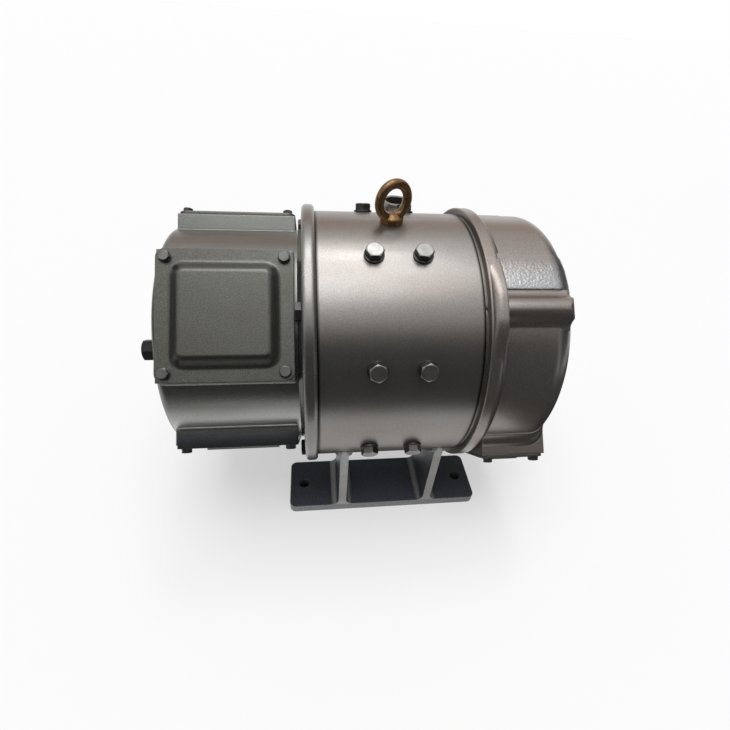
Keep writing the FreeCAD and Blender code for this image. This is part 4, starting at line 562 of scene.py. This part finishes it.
poleRows = [frameSizes["poleRow"] + 360 / frameSizes["rows"] * row for row in range(frameSizes["rows"])]
polePlaces = [
    aboutShaft(angle) @ Matrix.Translation(
        (frameSizes["yokeMiddle"] + side * frameSizes["poleBoltSpacing"] / 2, 0.0, frameSizes["yokeRadius"]))
    for angle in poleRows for side in (-1, 1)
]
boltPiece("poleBoltHeads", "poleBolt", polePlaces, headFinish, "pole_bolts")
boltPiece(
    "commutatorFlangeBolts", "shieldBolt",
    endPlaces(windowAngles, frameSizes["commFlangeFace"], frameSizes["shieldBoltCircle"], towardLeft),
    headFinish, "commutator_shield_bolts")
boltPiece(
    "driveRibBolts", "shieldBolt",
    endPlaces(earAngles, frameSizes["earBoltSeat"], frameSizes["shieldBoltCircle"], towardRight),
    headFinish, "drive_shield_bolts")
boltPiece(
    "bearingCapHeads", "capScrew",
    endPlaces(windowAngles, frameSizes["commCapFace"], frameSizes["commCapCircle"], towardLeft)
    + endPlaces(windowAngles, frameSizes["driveCapFace"], frameSizes["driveCapCircle"], towardRight),
    headFinish, "bearing_cap_screws")
boltPiece(
    "rockerLockHead", "lockBolt",
    endPlaces([frameSizes["lockAngle"]], frameSizes["commEnd"], frameSizes["lockCircle"], towardLeft),
    ["blackBolt", "blackBolt"], "rocker_lock_bolt")

coverScrewSets = (
    {"angles": windowAngles, "middle": -0.17525, "along": 0.112, "across": 0.112, "seat": 0.132},
    {"angles": lowerAngles, "middle": 0.1365, "along": 0.056, "across": 0.117, "seat": 0.1565},
)
coverPlaces = [
    aboutShaft(angle) @ Matrix.Translation(
        (screws["middle"] + sideX * screws["along"] / 2, sideY * screws["across"] / 2, screws["seat"]))
    for screws in coverScrewSets for angle in screws["angles"] for sideX in (-1, 1) for sideY in (-1, 1)
]
boltPiece("coverScrewHeads", "coverScrew", coverPlaces, screwFinish, "cover_screws")

lidScrews = {"middle": (0.034, 0.222, 0.210), "along": 0.100, "across": 0.108}
lidPlaces = [
    Matrix.Translation(Vector(lidScrews["middle"]) + Vector(
        (sideX * lidScrews["along"] / 2, 0.0, sideZ * lidScrews["across"] / 2)))
    @ Matrix.Rotation(math.radians(-90), 4, "X")
    for sideX in (-1, 1) for sideZ in (-1, 1)
]
boltPiece("terminalLidHeads", "coverScrew", lidPlaces, screwFinish, "terminal_lid_screws")
print("bolts made")


# Pressed covers over the upper windows.
pressedCover = {
    "middle": -0.17525, "seat": 0.1295, "sheet": 0.0025, "length": 0.1295, "width": 0.129, "corner": 0.009,
    "pressLength": 0.1085, "pressWidth": 0.1078, "pressCorner": 0.017, "pressHeight": 0.0088,
    "slope": 0.0127, "steps": 10, "flatRing": 0.0012, "angles": (45, -45), "sharpAngle": 50.0,
}
cornerSteps = 8


def roundedFace(shape, length, width, corner, height):
    before = set(shape.faces)
    made = bmesh.ops.create_grid(shape, x_segments=1, y_segments=1, size=halfUnit)["verts"]
    bmesh.ops.scale(shape, vec=(length, width, 1.0), verts=made)
    bmesh.ops.translate(shape, vec=(0.0, 0.0, height), verts=made)
    bmesh.ops.bevel(shape, geom=made, offset=corner, offset_type="OFFSET", affect="VERTICES",
                    segments=cornerSteps, profile=0.5, material=-1)
    return (set(shape.faces) - before).pop()


def smoothShare(share):
    return share * share * (3 - 2 * share)


# The middle rises in small insets; a flat ring at its foot and top keeps the sheet flat there.
def pressCover(form):
    shape = bmesh.new()
    top = form["seat"] + form["sheet"]
    panel = roundedFace(shape, form["pressLength"], form["pressWidth"], form["pressCorner"], top)
    insets = [(form["flatRing"], 0.0)]
    for step in range(form["steps"]):
        rise = smoothShare((step + 1) / form["steps"]) - smoothShare(step / form["steps"])
        insets.append((form["slope"] / form["steps"], form["pressHeight"] * rise))
    insets.append((form["flatRing"], 0.0))
    for inward, lift in insets:
        bmesh.ops.inset_region(
            shape, faces=[panel], thickness=inward, use_even_offset=True, use_boundary=True)
        bmesh.ops.translate(shape, vec=(0.0, 0.0, lift), verts=panel.verts)
    foot = [edge for edge in shape.edges if edge.is_boundary]
    margin = roundedFace(shape, form["length"], form["width"], form["corner"], top)
    outline = list(margin.edges)
    bmesh.ops.delete(shape, geom=[margin], context="FACES_ONLY")
    bmesh.ops.triangle_fill(shape, edges=foot + outline, use_beauty=True, normal=(0.0, 0.0, 1.0))
    bmesh.ops.recalc_face_normals(shape, faces=shape.faces)
    if panel.normal.z < 0:
        bmesh.ops.reverse_faces(shape, faces=shape.faces)
    bmesh.ops.solidify(shape, geom=shape.faces, thickness=form["sheet"])
    return shape


coverShape = bmesh.new()
addCopies(coverShape, pressCover(pressedCover), [
    aboutShaft(angle) @ Matrix.Translation((pressedCover["middle"], 0.0, 0.0))
    for angle in pressedCover["angles"]])
pressedCovers = finishPiece(
    "pressedWindowCovers", coverShape, ["coverPaint"], pressedCover["sharpAngle"])
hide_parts("upper_window_covers")
print("pressed covers made")


# Cast fillets: along the foot of each window pad, and round the drum against its flange.
castFillets = {
    "commutatorFillets": {
        "angles": windowAngles, "halfWidth": 0.0645, "drum": 0.128, "padRadius": 0.0035,
        "from": -0.240, "to": -0.1105, "roundFrom": -0.2385, "roundRadius": 0.008, "side": -1,
        "flange": -0.103, "flangeRadius": 0.0045, "finish": "shieldCasting",
    },
    "driveFillets": {
        "angles": lowerAngles, "halfWidth": 0.0675, "drum": 0.149, "padRadius": 0.018,
        "from": 0.099, "to": 0.174, "roundFrom": 0.152, "roundRadius": 0.026, "side": 1,
        "flange": 0.095, "flangeRadius": 0.0050, "finish": "driveCasting",
    },
}
filletMesh = {"steps": 8, "sink": 0.0015, "stations": 24, "ringSteps": 180, "sharpAngle": 40.0}


# A hollow corner: an arc from one tangent point to the other, closed behind by a sunk point.
def filletSection(shape, centre, start, angle, axis, back):
    before = set(shape.edges)
    first = shape.verts.new(start)
    swept = bmesh.ops.spin(
        shape, geom=[first], cent=centre, axis=axis, angle=angle, steps=filletMesh["steps"])
    last = [item for item in swept["geom_last"] if isinstance(item, bmesh.types.BMVert)][0]
    behind = shape.verts.new(back)
    shape.edges.new((last, behind))
    shape.edges.new((behind, first))
    return [edge for edge in shape.edges if edge not in before]


# The drum's radius at a place along the shaft, less where its outer edge is rounded.
def drumAt(form, along):
    over = max(0.0, form["side"] * (along - form["roundFrom"]))
    return form["drum"] - form["roundRadius"] + math.sqrt(form["roundRadius"] ** 2 - over * over)


def padFillet(form, side):
    shape = bmesh.new()
    across = form["halfWidth"] + form["padRadius"]
    loops = []
    for station in range(filletMesh["stations"] + 1):
        along = form["from"] + (form["to"] - form["from"]) * station / filletMesh["stations"]
        drum = drumAt(form, along)
        out = math.sqrt((drum + form["padRadius"]) ** 2 - across * across)
        foot = math.sqrt(drum * drum - form["halfWidth"] ** 2)
        turn = math.pi / 2 - math.atan2(across, out)
        loops.append(filletSection(
            shape, (along, side * across, out), (along, side * form["halfWidth"], out),
            side * turn, (1.0, 0.0, 0.0),
            (along, side * (form["halfWidth"] - filletMesh["sink"]), foot - filletMesh["sink"])))
    for near, far in zip(loops, loops[1:]):
        bmesh.ops.bridge_loops(shape, edges=near + far)
    bmesh.ops.holes_fill(shape, edges=[edge for edge in shape.edges if edge.is_boundary], sides=0)
    return shape


def flangeFillet(form):
    shape = bmesh.new()
    away = form["flange"] + form["side"] * form["flangeRadius"]
    loop = filletSection(
        shape, (away, 0.0, form["drum"] + form["flangeRadius"]), (away, 0.0, form["drum"]),
        form["side"] * math.pi / 2, (0.0, 1.0, 0.0),
        (form["flange"] - form["side"] * filletMesh["sink"], 0.0, form["drum"] - filletMesh["sink"]))
    bmesh.ops.spin(shape, geom=loop + shape.verts[:], cent=(0.0, 0.0, 0.0), axis=(1.0, 0.0, 0.0),
                   angle=2 * math.pi, steps=filletMesh["ringSteps"], use_merge=True)
    return shape


for name, form in castFillets.items():
    filletShape = bmesh.new()
    for side in (-1, 1):
        addCopies(filletShape, padFillet(form, side), [aboutShaft(angle) for angle in form["angles"]])
    addCopies(filletShape, flangeFillet(form), [aboutShaft(0)])
    finishPiece(name, filletShape, [form["finish"]], filletMesh["sharpAngle"])
print("cast fillets made")


# Swellings of the drive-end flange, which take in the roots of the bolt ribs.
flangeSwells = {
    "angles": earAngles, "from": 0.0815, "to": 0.0952, "flange": 0.157, "height": 0.0056, "round": 0.009,
    "halfFlat": 3.5, "halfRun": 20.0, "sink": 0.0003, "edgeDrop": 0.0008, "wall": 0.004,
    "cellsAlong": 20, "cellsRound": 72, "sharpAngle": 50.0,
}


def flangeSwell(form):
    shape = bmesh.new()
    bmesh.ops.create_grid(
        shape, x_segments=form["cellsAlong"], y_segments=form["cellsRound"], size=halfUnit)
    for vert in shape.verts:
        along = form["from"] + (vert.co.x + halfUnit) * (form["to"] - form["from"])
        turned = 2 * vert.co.y * form["halfRun"]
        run = (form["halfRun"] - abs(turned)) / (form["halfRun"] - form["halfFlat"])
        level = smoothShare(min(1.0, run))
        inward = max(0.0, 1.0 - (along - form["from"]) / form["round"])
        rounded = math.sqrt(1.0 - inward * inward)
        drop = form["sink"] + form["edgeDrop"] * (1.0 - rounded)
        out = form["flange"] - drop + (form["height"] + form["sink"]) * level * rounded
        vert.co = (along, -out * math.sin(math.radians(turned)), out * math.cos(math.radians(turned)))
    bmesh.ops.recalc_face_normals(shape, faces=shape.faces)
    if shape.faces[:][0].normal.z < 0:
        bmesh.ops.reverse_faces(shape, faces=shape.faces)
    bmesh.ops.solidify(shape, geom=shape.faces, thickness=form["wall"])
    return shape


swellShape = bmesh.new()
addCopies(swellShape, flangeSwell(flangeSwells), [aboutShaft(angle) for angle in flangeSwells["angles"]])
finishPiece("flangeSwells", swellShape, ["driveCasting"], flangeSwells["sharpAngle"])
print("flange swellings made")


# Sheet sides of the lower covers, folded over the pads' walls, near black with painted shade.
coverSides = {
    "angles": lowerAngles, "halfWidth": 0.0645, "middle": -0.1745, "length": 0.1280,
    "from": 0.1170, "to": 0.1322, "sheet": 0.0012, "round": 0.0004, "roundSteps": 2, "sharpAngle": 32.0,
}


def foldedSide(form, side):
    shape = bmesh.new()
    made = bmesh.ops.create_cube(shape, size=1.0)["verts"]
    bmesh.ops.scale(shape, vec=(form["length"], form["sheet"], form["to"] - form["from"]), verts=made)
    across = side * (form["halfWidth"] + form["sheet"] / 2)
    bmesh.ops.translate(shape, vec=(form["middle"], across, (form["from"] + form["to"]) / 2), verts=made)
    bmesh.ops.bevel(shape, geom=shape.edges[:], offset=form["round"], offset_type="OFFSET", affect="EDGES",
                    segments=form["roundSteps"], profile=0.5, material=-1)
    return shape


sideShape = bmesh.new()
for side in (-1, 1):
    addCopies(sideShape, foldedSide(coverSides, side), [aboutShaft(angle) for angle in coverSides["angles"]])
finishPiece("inletCoverSides", sideShape, ["paintedShadeSheet"], coverSides["sharpAngle"])
print("cover sides made")


# Weld beads where the foot ribs meet the yoke.
weldBeads = {
    "ribs": (-0.0575, 0.0575), "halfRib": 0.005, "radius": 0.0032, "yoke": 0.1502,
    "from": 121.0, "to": 157.5, "steps": 66, "sides": 10, "ripple": 0.16, "fastWave": 5.3, "slowWave": 1.7,
    "slowShare": 0.5, "phase": 90, "overlap": 3, "sharpAngle": 60.0,
}


def weldBead(form, along):
    shape = bmesh.new()
    bmesh.ops.create_circle(shape, cap_ends=False, segments=form["sides"], radius=form["radius"])
    bmesh.ops.rotate(shape, cent=(0.0, 0.0, 0.0), verts=shape.verts,
                     matrix=Matrix.Rotation(math.pi / 2, 3, "X"))
    bmesh.ops.translate(shape, vec=(along, 0.0, form["yoke"]), verts=shape.verts)
    bmesh.ops.rotate(shape, cent=(0.0, 0.0, 0.0), verts=shape.verts,
                     matrix=Matrix.Rotation(math.radians(form["from"]), 3, "X"))
    bmesh.ops.spin(shape, geom=shape.edges[:] + shape.verts[:], cent=(0.0, 0.0, 0.0), axis=(1.0, 0.0, 0.0),
                   angle=math.radians(form["to"] - form["from"]), steps=form["steps"])
    for vert in shape.verts:
        turned = math.atan2(-vert.co.y, vert.co.z)
        middle = Vector((along, -form["yoke"] * math.sin(turned), form["yoke"] * math.cos(turned)))
        slowWave = math.sin(math.degrees(turned) * form["slowWave"] + along * form["phase"])
        wave = math.sin(math.degrees(turned) * form["fastWave"]) + form["slowShare"] * slowWave
        vert.co = middle + (vert.co - middle) * (1.0 + form["ripple"] * wave)
    bmesh.ops.holes_fill(shape, edges=[edge for edge in shape.edges if edge.is_boundary], sides=0)
    return shape


beadShape = bmesh.new()
mirrored = Matrix.Diagonal((1.0, -1.0, 1.0, 1.0))
for rib in weldBeads["ribs"]:
    for side in (-1, 1):
        along = rib + side * (weldBeads["halfRib"] + weldBeads["radius"] / weldBeads["overlap"])
        for place in (aboutShaft(0), aboutShaft(0) @ mirrored):
            addCopies(beadShape, weldBead(weldBeads, along), [place])
finishPiece("footWelds", beadShape, ["ribPaint"], weldBeads["sharpAngle"])
print("weld beads made")


# Rough cast skin left on the drive-end drum above the near bolt rib.
castSkin = {
    "from": 20.5, "to": 36.8, "left": 0.0955, "straightTo": 0.152, "edgeRadius": 0.026, "edgeTurn": 68.0,
    "drum": 0.149, "lift": 0.0003, "sink": 0.0012, "under": 0.00025, "pebble": 0.00018, "pebbleScale": 520.0,
    "finePebble": 2.3, "fineShare": 0.5, "cellsAlong": 120, "cellsRound": 64,
    "border": 0.09, "topFade": 4, "leftFade": 2, "footFade": 3, "sharpAngle": 80.0,
}


def roughSkin(form):
    shape = bmesh.new()
    bmesh.ops.create_grid(
        shape, x_segments=form["cellsAlong"], y_segments=form["cellsRound"], size=halfUnit)
    straight = form["straightTo"] - form["left"]
    curved = form["edgeRadius"] * math.radians(form["edgeTurn"])
    for vert in shape.verts:
        u, v = vert.co.x + halfUnit, vert.co.y + halfUnit
        run = u * (straight + curved)
        turned = math.radians(form["from"] + v * (form["to"] - form["from"]))
        over = max(run - straight, 0.0) / form["edgeRadius"]
        along = form["left"] + min(run, straight) + form["edgeRadius"] * math.sin(over)
        out = form["drum"] - form["edgeRadius"] * (1 - math.cos(over))
        spot = Vector((along, -out * math.sin(turned), out * math.cos(turned)))
        outward = Vector(
            (math.sin(over), -math.cos(over) * math.sin(turned), math.cos(over) * math.cos(turned)))
        finePebble = noise.noise(spot * form["pebbleScale"] * form["finePebble"])
        pebble = noise.noise(spot * form["pebbleScale"]) + form["fineShare"] * finePebble
        fade = min(1.0, v / (form["border"] * form["topFade"]), (1 - u) / form["border"],
                   u / form["border"] * form["leftFade"], (1 - v) / form["border"] * form["footFade"])
        share = smoothShare(max(0.0, fade))
        lift = (form["lift"] + form["pebble"] * pebble) * share - form["under"] * (1 - share)
        vert.co = spot + outward * lift
    bmesh.ops.recalc_face_normals(shape, faces=shape.faces)
    bmesh.ops.solidify(shape, geom=shape.faces, thickness=form["sink"])
    return shape


skinShape = bmesh.new()
addCopies(skinShape, roughSkin(castSkin), [aboutShaft(0)])
finishPiece("driveCastSkin", skinShape, ["castSkin"], castSkin["sharpAngle"])
print("cast skin made")


floor = {"size": 60.0, "colour": (0.92, 0.92, 0.92), "inShine": 1.0, "inView": 0.5}

# Cards round the motor, which only its shine picks up.
cards = {
    "frontCard": {"middle": (0.0, -1.9, 0.95), "size": (4.0, 1.9), "lean": 90.0, "turn": 0.0},
    "rearCard": {"middle": (0.0, 1.6, 1.20), "size": (4.0, 0.8), "lean": 90.0, "turn": 0.0,
                 "colour": (0.82, 0.60, 0.47)},
    "floorCard": {"middle": (0.0, -1.16, 0.004), "size": (3.0, 1.5), "lean": 0.0, "turn": 0.0},
    "sideCard": {"middle": (0.645, -0.13, 0.004), "size": (0.84, 0.56), "lean": 0.0, "turn": 0.0},
    "rightCard": {"middle": (1.9, 0.0, 0.75), "size": (3.0, 1.5), "lean": 90.0, "turn": 90.0},
    "leftCard": {"middle": (-1.9, -0.3, 0.45), "size": (2.4, 0.9), "lean": 90.0, "turn": 90.0},
}
cardColour = (0.02, 0.02, 0.02)
paper = {"roughness": 0.8, "specular": 0.1}    # of the floor, the cards and the ground


def layPlane(name, size, place, colour):
    mesh = bpy.data.meshes.new(name)
    shape = bmesh.new()
    bmesh.ops.create_grid(shape, x_segments=1, y_segments=1, size=halfUnit)
    bmesh.ops.scale(shape, vec=(*size, 1.0), verts=shape.verts)
    bmesh.ops.transform(shape, matrix=place, verts=shape.verts)
    shape.to_mesh(mesh)
    shape.free()
    plane = bpy.data.objects.new(name, mesh)
    bpy.context.scene.collection.objects.link(plane)
    material, tree, shader = startFinish(name + "Paper")
    shader.inputs["Base Color"].default_value = (*colour, 1.0)
    shader.inputs["Roughness"].default_value = paper["roughness"]
    shader.inputs["Specular IOR Level"].default_value = paper["specular"]
    mesh.materials.append(material)
    return plane, tree, shader


# The floor is pale in the motor's shine, and part of that paleness also shows to the eye, under the shadow.
_, floorTree, floorShader = layPlane("floor", (floor["size"], floor["size"]), Matrix(), floor["colour"])
floorRay = addNode(floorTree, "ShaderNodeLightPath")
paleFloor = addNode(floorTree, "ShaderNodeEmission")
paleFloor.inputs["Strength"].default_value = floor["inShine"]
floorInShine = mixShaders(
    floorTree, floorRay.outputs["Is Glossy Ray"], floorShader.outputs["BSDF"], paleFloor.outputs["Emission"])
viewShare = calculate(floorTree, "MULTIPLY", floorRay.outputs["Is Camera Ray"], floor["inView"])
floorInView = mixShaders(floorTree, viewShare, floorInShine, paleFloor.outputs["Emission"])
floorTree.links.new(floorInView, floorTree.nodes["Material Output"].inputs["Surface"])

for name, card in cards.items():
    place = Matrix.Translation(card["middle"]) @ Matrix.Rotation(math.radians(card["turn"]), 4, "Z")
    place = place @ Matrix.Rotation(math.radians(card["lean"]), 4, "X")
    plane, _, _ = layPlane(name, card["size"], place, card.get("colour", cardColour))
    plane.visible_camera = False
    plane.visible_shadow = False
    plane.visible_diffuse = False

# Painted shadow on the ground seen through the foot holes; one patch is rust-brown.
footHoleShade = {
    "height": 0.001, "size": (0.020, 0.020), "colour": (0.012, 0.015, 0.019),
    "rustyShadeColour": (0.045, 0.034, 0.022),
}
millimetre = 0.001
footBolts = mounts["foot_bolts"]["dims"]
for sideX in (-1, 1):
    for sideY in (-1, 1):
        along = sideX * footBolts["spacing_x_mm"] / 2 * millimetre
        across = sideY * footBolts["spacing_y_mm"] / 2 * millimetre
        # Dark patches as painted shadow, the front right one rust-brown.
        tone = footHoleShade["rustyShadeColour"] if sideX > sideY else footHoleShade["colour"]
        layPlane(f"footGround{sideX}{sideY}", footHoleShade["size"],
                 Matrix.Translation((along, across, footHoleShade["height"])), tone)

lamps = {
    "skylight": {"aim": (0.03, 0.02, -1.0), "angle": 48.0, "strength": 1.6},
    "rearStrip": {"aim": (-0.10, -0.40, -1.0), "angle": 11.0, "strength": 0.30},
}
for name, lamp in lamps.items():
    sun = bpy.data.lights.new(name, "SUN")
    sun.energy = lamp["strength"]
    sun.angle = math.radians(lamp["angle"])
    holder = bpy.data.objects.new(name, sun)
    holder.rotation_euler = Vector(lamp["aim"]).to_track_quat("-Z", "Y").to_euler()
    bpy.context.scene.collection.objects.link(holder)


def turnTo(place, aim, roll):
    look = (Vector(aim) - Vector(place)).to_track_quat("-Z", "Y").to_matrix().to_4x4()
    return Matrix.Translation(place) @ look @ Matrix.Rotation(roll, 4, "Z")


# The walls of the studio: pale to the eye and in reflections, dimmer as a light.
walls = {"seen": (1.0, 1.0, 1.0), "lighting": (0.45, 0.45, 0.45)}
world = bpy.data.worlds.new("studio")
bpy.context.scene.world = world
world.use_nodes = True
studio = world.node_tree
backdrop = studio.nodes["Background"]
studioRay = addNode(studio, "ShaderNodeLightPath").outputs
seen = calculate(studio, "MAXIMUM", studioRay["Is Camera Ray"], studioRay["Is Glossy Ray"])
seen = calculate(studio, "MAXIMUM", seen, studioRay["Is Transmission Ray"])
studio.links.new(mixColour(studio, seen, walls["lighting"], walls["seen"]), backdrop.inputs["Color"])

photoCamera = {
    "place": (-0.0924, -0.4474, 0.5280), "aim": (-0.0219, 0.0, 0.1474),
    "roll": math.radians(4.76), "lens": 21.1, "clipStart": 0.01,
}
cameraData = bpy.data.cameras.new("photoCamera")
cameraData.lens = photoCamera["lens"]
cameraData.clip_start = photoCamera["clipStart"]
camera = bpy.data.objects.new("photoCamera", cameraData)
camera.matrix_world = turnTo(photoCamera["place"], photoCamera["aim"], photoCamera["roll"])
bpy.context.scene.collection.objects.link(camera)
bpy.context.scene.camera = camera
bpy.context.scene.view_settings.view_transform = "Standard"
print("floor, lamps and camera placed")
